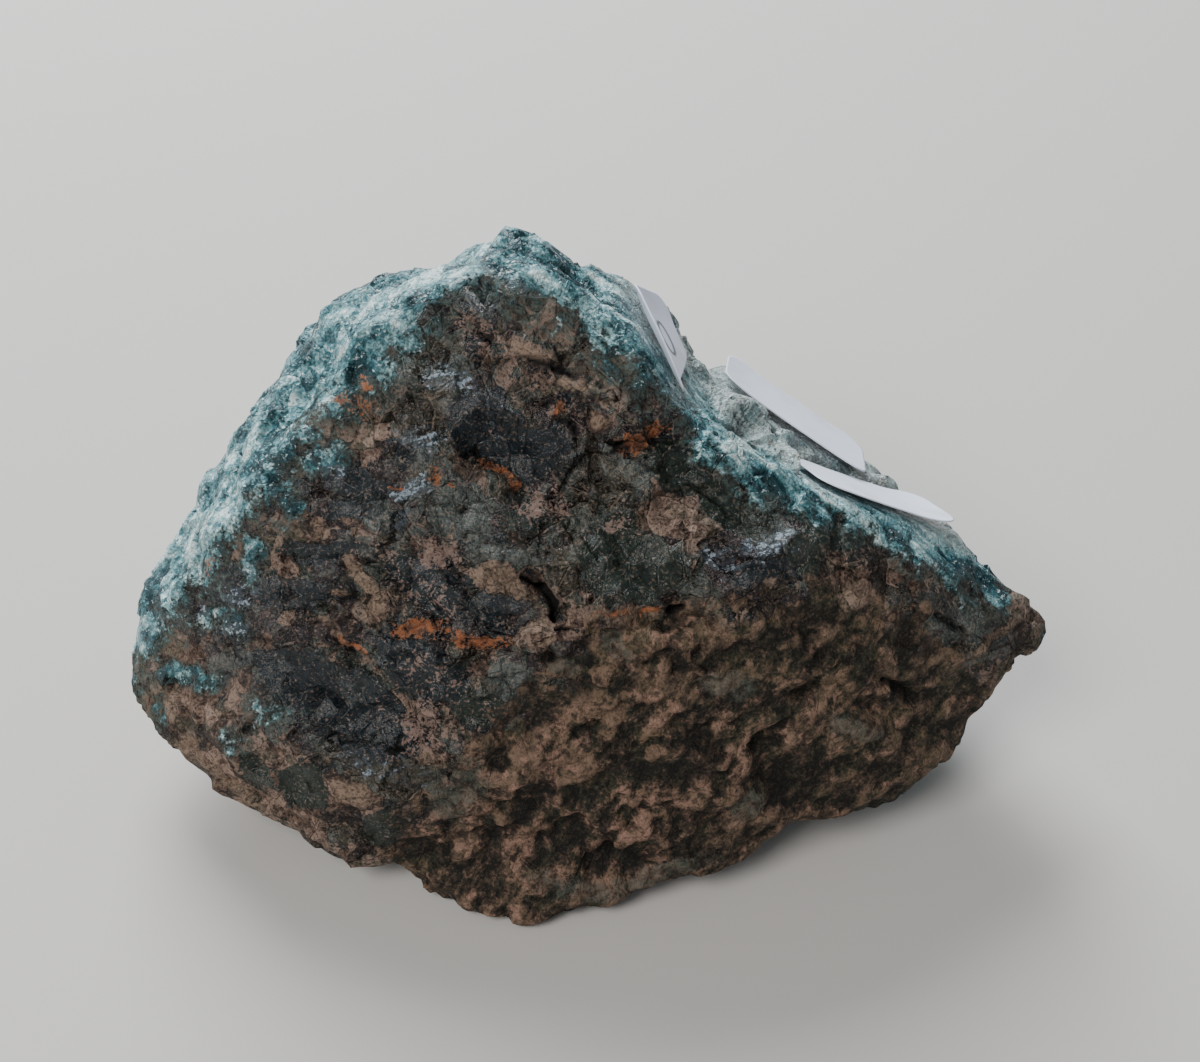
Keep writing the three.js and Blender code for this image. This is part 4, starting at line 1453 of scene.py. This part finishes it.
@dataclass
class PaperLabel:
    """A small paper label: a thin sheet on its packed seat, lifted or curled at its edges.

    Along the label s runs from -1 to 1, and across it t does, with t = 1 on the side towards the
    back.
    """

    name: str
    node: str
    curl: tuple[float, float, float, float] = (0.3, 0.3, 0.3, 0.3)
    taper: float = 0.0
    bulge: float = 0.0
    strokes: tuple[Line, ...] = ()
    ink_strength: float = 0.8
    pen: float = 0.3
    thickness: float = 0.14
    corner: float = 2.5
    spacing: float = 0.16
    stone_gap: float = 0.12
    finish: PaperFinish = field(default_factory=PaperFinish)

    def __post_init__(self) -> None:
        """Take the seat's middle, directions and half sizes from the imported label.

        The directions are the principal axes of its points: the longest runs towards +X, and the
        thinnest points up.
        """
        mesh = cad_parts[self.node].data
        points, _ = vertex_rows(mesh)
        middle = (points.max(axis=0) + points.min(axis=0)) / 2.0
        _, _, axes = np.linalg.svd(points - points.mean(axis=0), full_matrices=False)
        along = axes[0] * (1.0 if axes[0][0] > 0 else -1.0)
        up = axes[2] * (1.0 if axes[2][2] > 0 else -1.0)
        self.axes = np.stack([along, np.cross(up, along), up])
        local = (points - middle) @ self.axes.T
        low, high = local.min(axis=0), local.max(axis=0)
        self.middle = middle + (low + high) / 2.0 @ self.axes
        self.half = (high - low) / 2.0

    def local(self, points: Array) -> Array:
        """Points in the label's own frame, with its underside at height 0."""
        return (points - self.middle) @ self.axes.T + np.array([0.0, 0.0, self.half[2]])

    def clearance(self, points: Array) -> Array:
        """How far outside the label's edge each point of the stone near it lies.

        Args:
            points: points in mm, one a row.

        Returns:
            The distances in mm, below 0 under the label and endless for points that aren't near.
        """
        local = self.local(points)
        past = np.maximum(np.abs(local[:, 0]) - self.half[0], np.abs(local[:, 1]) - self.half[1])
        return np.where(np.abs(local[:, 2]) < 8.0, past, np.inf)

    def keep_below(self, points: Array) -> Array:
        """Press the stone down to just under the label wherever it lies over it.

        Args:
            points: the stone's points in mm, one a row.

        Returns:
            The points, pressed down.
        """
        local = self.local(points)
        under = (self.clearance(points) < 0.6) & (local[:, 2] > -self.stone_gap)
        excess = np.where(under, local[:, 2] + self.stone_gap, 0.0)
        return points - excess[:, None] * self.axes[2]

    def build(self) -> bpy.types.Object:
        """Make the label's piece: a grid over the sheet, curled, thickened and inked.

        Past the straight edges the grid's corners are pulled in to circles. The height is a low
        wave of soft noise plus, for each edge, its curl times the square of how near the edge is.

        Returns:
            The finished piece.
        """
        length, across = (max(24, int(half * 2.0 / self.spacing)) for half in self.half[:2])
        steps = (np.linspace(-1.0, 1.0, count + 1) for count in (length, across))
        s, t = np.meshgrid(*steps, indexing="ij")
        x, y = (s * self.half[0]).ravel(), (t * self.half[1]).ravel()
        straight = self.half[:2] - self.corner
        past = np.stack([np.abs(x), np.abs(y)], axis=1) - straight
        rounded = (past > 0).all(axis=1)
        reach = np.linalg.norm(past, axis=1)
        pull = np.where(rounded, past.max(axis=1) / np.maximum(reach, 1e-9), 1.0)
        x = np.where(rounded, np.sign(x) * (straight[0] + past[:, 0] * pull), x)
        y = np.where(rounded, np.sign(y) * (straight[1] + past[:, 1] * pull), y)
        narrowed = 1.0 - self.taper * smooth_step(x / self.half[0], 0.0, 1.0)
        y = (y + self.half[1]) * narrowed - self.half[1]
        y -= self.bulge * (1.0 - (x / self.half[0]) ** 2)
        left, right, near, far = self.curl
        s, t = x / self.half[0], y / self.half[1]

        def lifted(curl: float, towards: Array) -> Array:
            """The lift of an edge, from 0 a third of the way out to about the curl at the edge."""
            return curl * np.clip(towards - 0.35, 0.0, 1.0) ** 2 / 0.42

        height = 0.05 + lifted(left, -s) + lifted(right, s)
        height += lifted(near, -t) + lifted(far, t)
        flat = np.stack([x, y, np.zeros_like(x)], axis=1)
        height += 0.05 * soft_noise(flat + 40.0, 3.5, 301, 2)
        flat[:, 2] = height - self.half[2]
        points = inside_box(self.middle + flat @ self.axes)
        made = make_object(self.name, points, grid_quads(length + 1, across + 1))
        write_attribute(made.data, "ink", self.ink(s, t))
        sheet = made.modifiers.new("paper_thickness", "SOLIDIFY")
        sheet.thickness = self.thickness * MM
        sheet.offset = 1.0
        made.data.materials.append(self.finish.material())
        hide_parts(self.node)
        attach(made, "root")
        return made

    def ink(self, s: Array, t: Array) -> Array:
        """How much pen ink lies at each point: full close to a stroke, and none a pen away.

        Args:
            s: where each point lies along the label.
            t: where it lies across the label.

        Returns:
            The ink's share at each point.
        """
        place = np.stack([s * self.half[0], t * self.half[1]], axis=1)
        distance = np.full(len(s), np.inf)
        for stroke in self.strokes:
            distance = np.minimum(distance, line_distance(place, np.array(stroke) * self.half[:2]))
        return self.ink_strength * smooth_step(distance, self.pen, 0.4 * self.pen)


def nought(middle: tuple[float, float], half: tuple[float, float]) -> Line:
    """A plain nought: an oval in 24 steps of the angle, by its cosine and sine.

    Args:
        middle: its middle (s, t).
        half: its half sizes.

    Returns:
        Its points, the first of them again at the end.
    """
    angle = np.linspace(0.0, 2.0 * math.pi, 25)
    s, t = middle[0] + half[0] * np.cos(angle), middle[1] + half[1] * np.sin(angle)
    return tuple(zip(s.tolist(), t.tolist()))


# ---- the studio ----


@dataclass
class Studio:
    """A plain pale floor, soft studio light, and the camera that looks down at 45 degrees."""

    target: Point = (1.9, -4.8, 28.9)
    distance: float = 165.0
    elevation: float = 45.0
    lens: float = 50.0
    floor_finish: FloorFinish = field(default_factory=FloorFinish)

    def floor(self) -> None:
        """Lay the floor: one flat sheet, 3 m across, just under the stone."""
        reach, drop = 1500.0, 0.02
        sides = [(-1, -1), (1, -1), (1, 1), (-1, 1)]
        corners = np.array([(x * reach, y * reach, -drop) for x, y in sides])
        made = make_object("floor", corners, np.array([[0, 1, 2, 3]]))
        made.data.materials.append(self.floor_finish.material())

    def camera(self) -> None:
        """Set the camera at its distance from the target, looking along +Y and down."""
        tilt = math.radians(self.elevation)
        back = Vector((0.0, -math.cos(tilt), math.sin(tilt)))
        made = bpy.data.objects.new("camera", bpy.data.cameras.new("camera"))
        made.data.lens = self.lens
        made.data.sensor_width = 36.0
        made.data.clip_start = 0.01
        made.location = (Vector(self.target) + back * self.distance) * MM
        made.rotation_euler = (math.radians(90.0 - self.elevation), 0.0, 0.0)
        bpy.context.scene.collection.objects.link(made)
        bpy.context.scene.camera = made

    def light(self, name: str, place: Point, size: float, power: float, colour: Point) -> None:
        """Hang a square soft light, aimed at the stone.

        Args:
            name: the light's name.
            place: where it hangs, in mm.
            size: its side in mm.
            power: its power in watts.
            colour: its linear colour.
        """
        data = bpy.data.lights.new(name, "AREA")
        data.size = size * MM
        data.energy = power
        data.color = colour
        made = bpy.data.objects.new(name, data)
        made.location = Vector(place) * MM
        aim = Vector(self.target) * MM - made.location
        made.rotation_euler = aim.to_track_quat("-Z", "Y").to_euler()
        bpy.context.scene.collection.objects.link(made)

    def build(self) -> None:
        """Set out the floor, the camera, the lights and the even light of the room."""
        self.floor()
        self.camera()
        self.light("window", (-180.0, 530.0, 460.0), 380.0, 9.0, (0.93, 0.97, 1.0))
        self.light("room", (-330.0, -330.0, 600.0), 350.0, 3.8, (1.0, 0.97, 0.94))
        world = bpy.data.worlds.new("room")
        world.use_nodes = True
        background = world.node_tree.nodes["Background"]
        background.inputs["Color"].default_value = rgba("#dfe3e8")
        background.inputs["Strength"].default_value = 0.32
        bpy.context.scene.world = world


def main() -> None:
    """Build the labels, the stone and the studio."""
    logging.basicConfig(level=logging.INFO, format="%(name)s: %(message)s")
    labels = [
        PaperLabel(
            "label_ridge_sheet",
            "label_ridge",
            curl=(0.3, 0.1, 0.9, 0.1),
            taper=0.8,
            bulge=0.7,
            strokes=(nought((-0.1, 0.0), (0.3, 0.2)),),
        ),
        PaperLabel("label_slope_sheet", "label_slope", curl=(0.5, 0.2, 0.3, 0.3)),
        PaperLabel("label_nose_sheet", "label_nose", curl=(0.2, 0.8, 0.2, 0.2)),
    ]
    stone = ApatiteStone().build(labels)
    log.info("%s: %d quads", stone.name, len(stone.data.polygons))
    for label in labels:
        made = label.build()
        log.info("%s: %d quads", made.name, len(made.data.polygons))
    Studio().build()


if __name__ == "__main__":
    main()
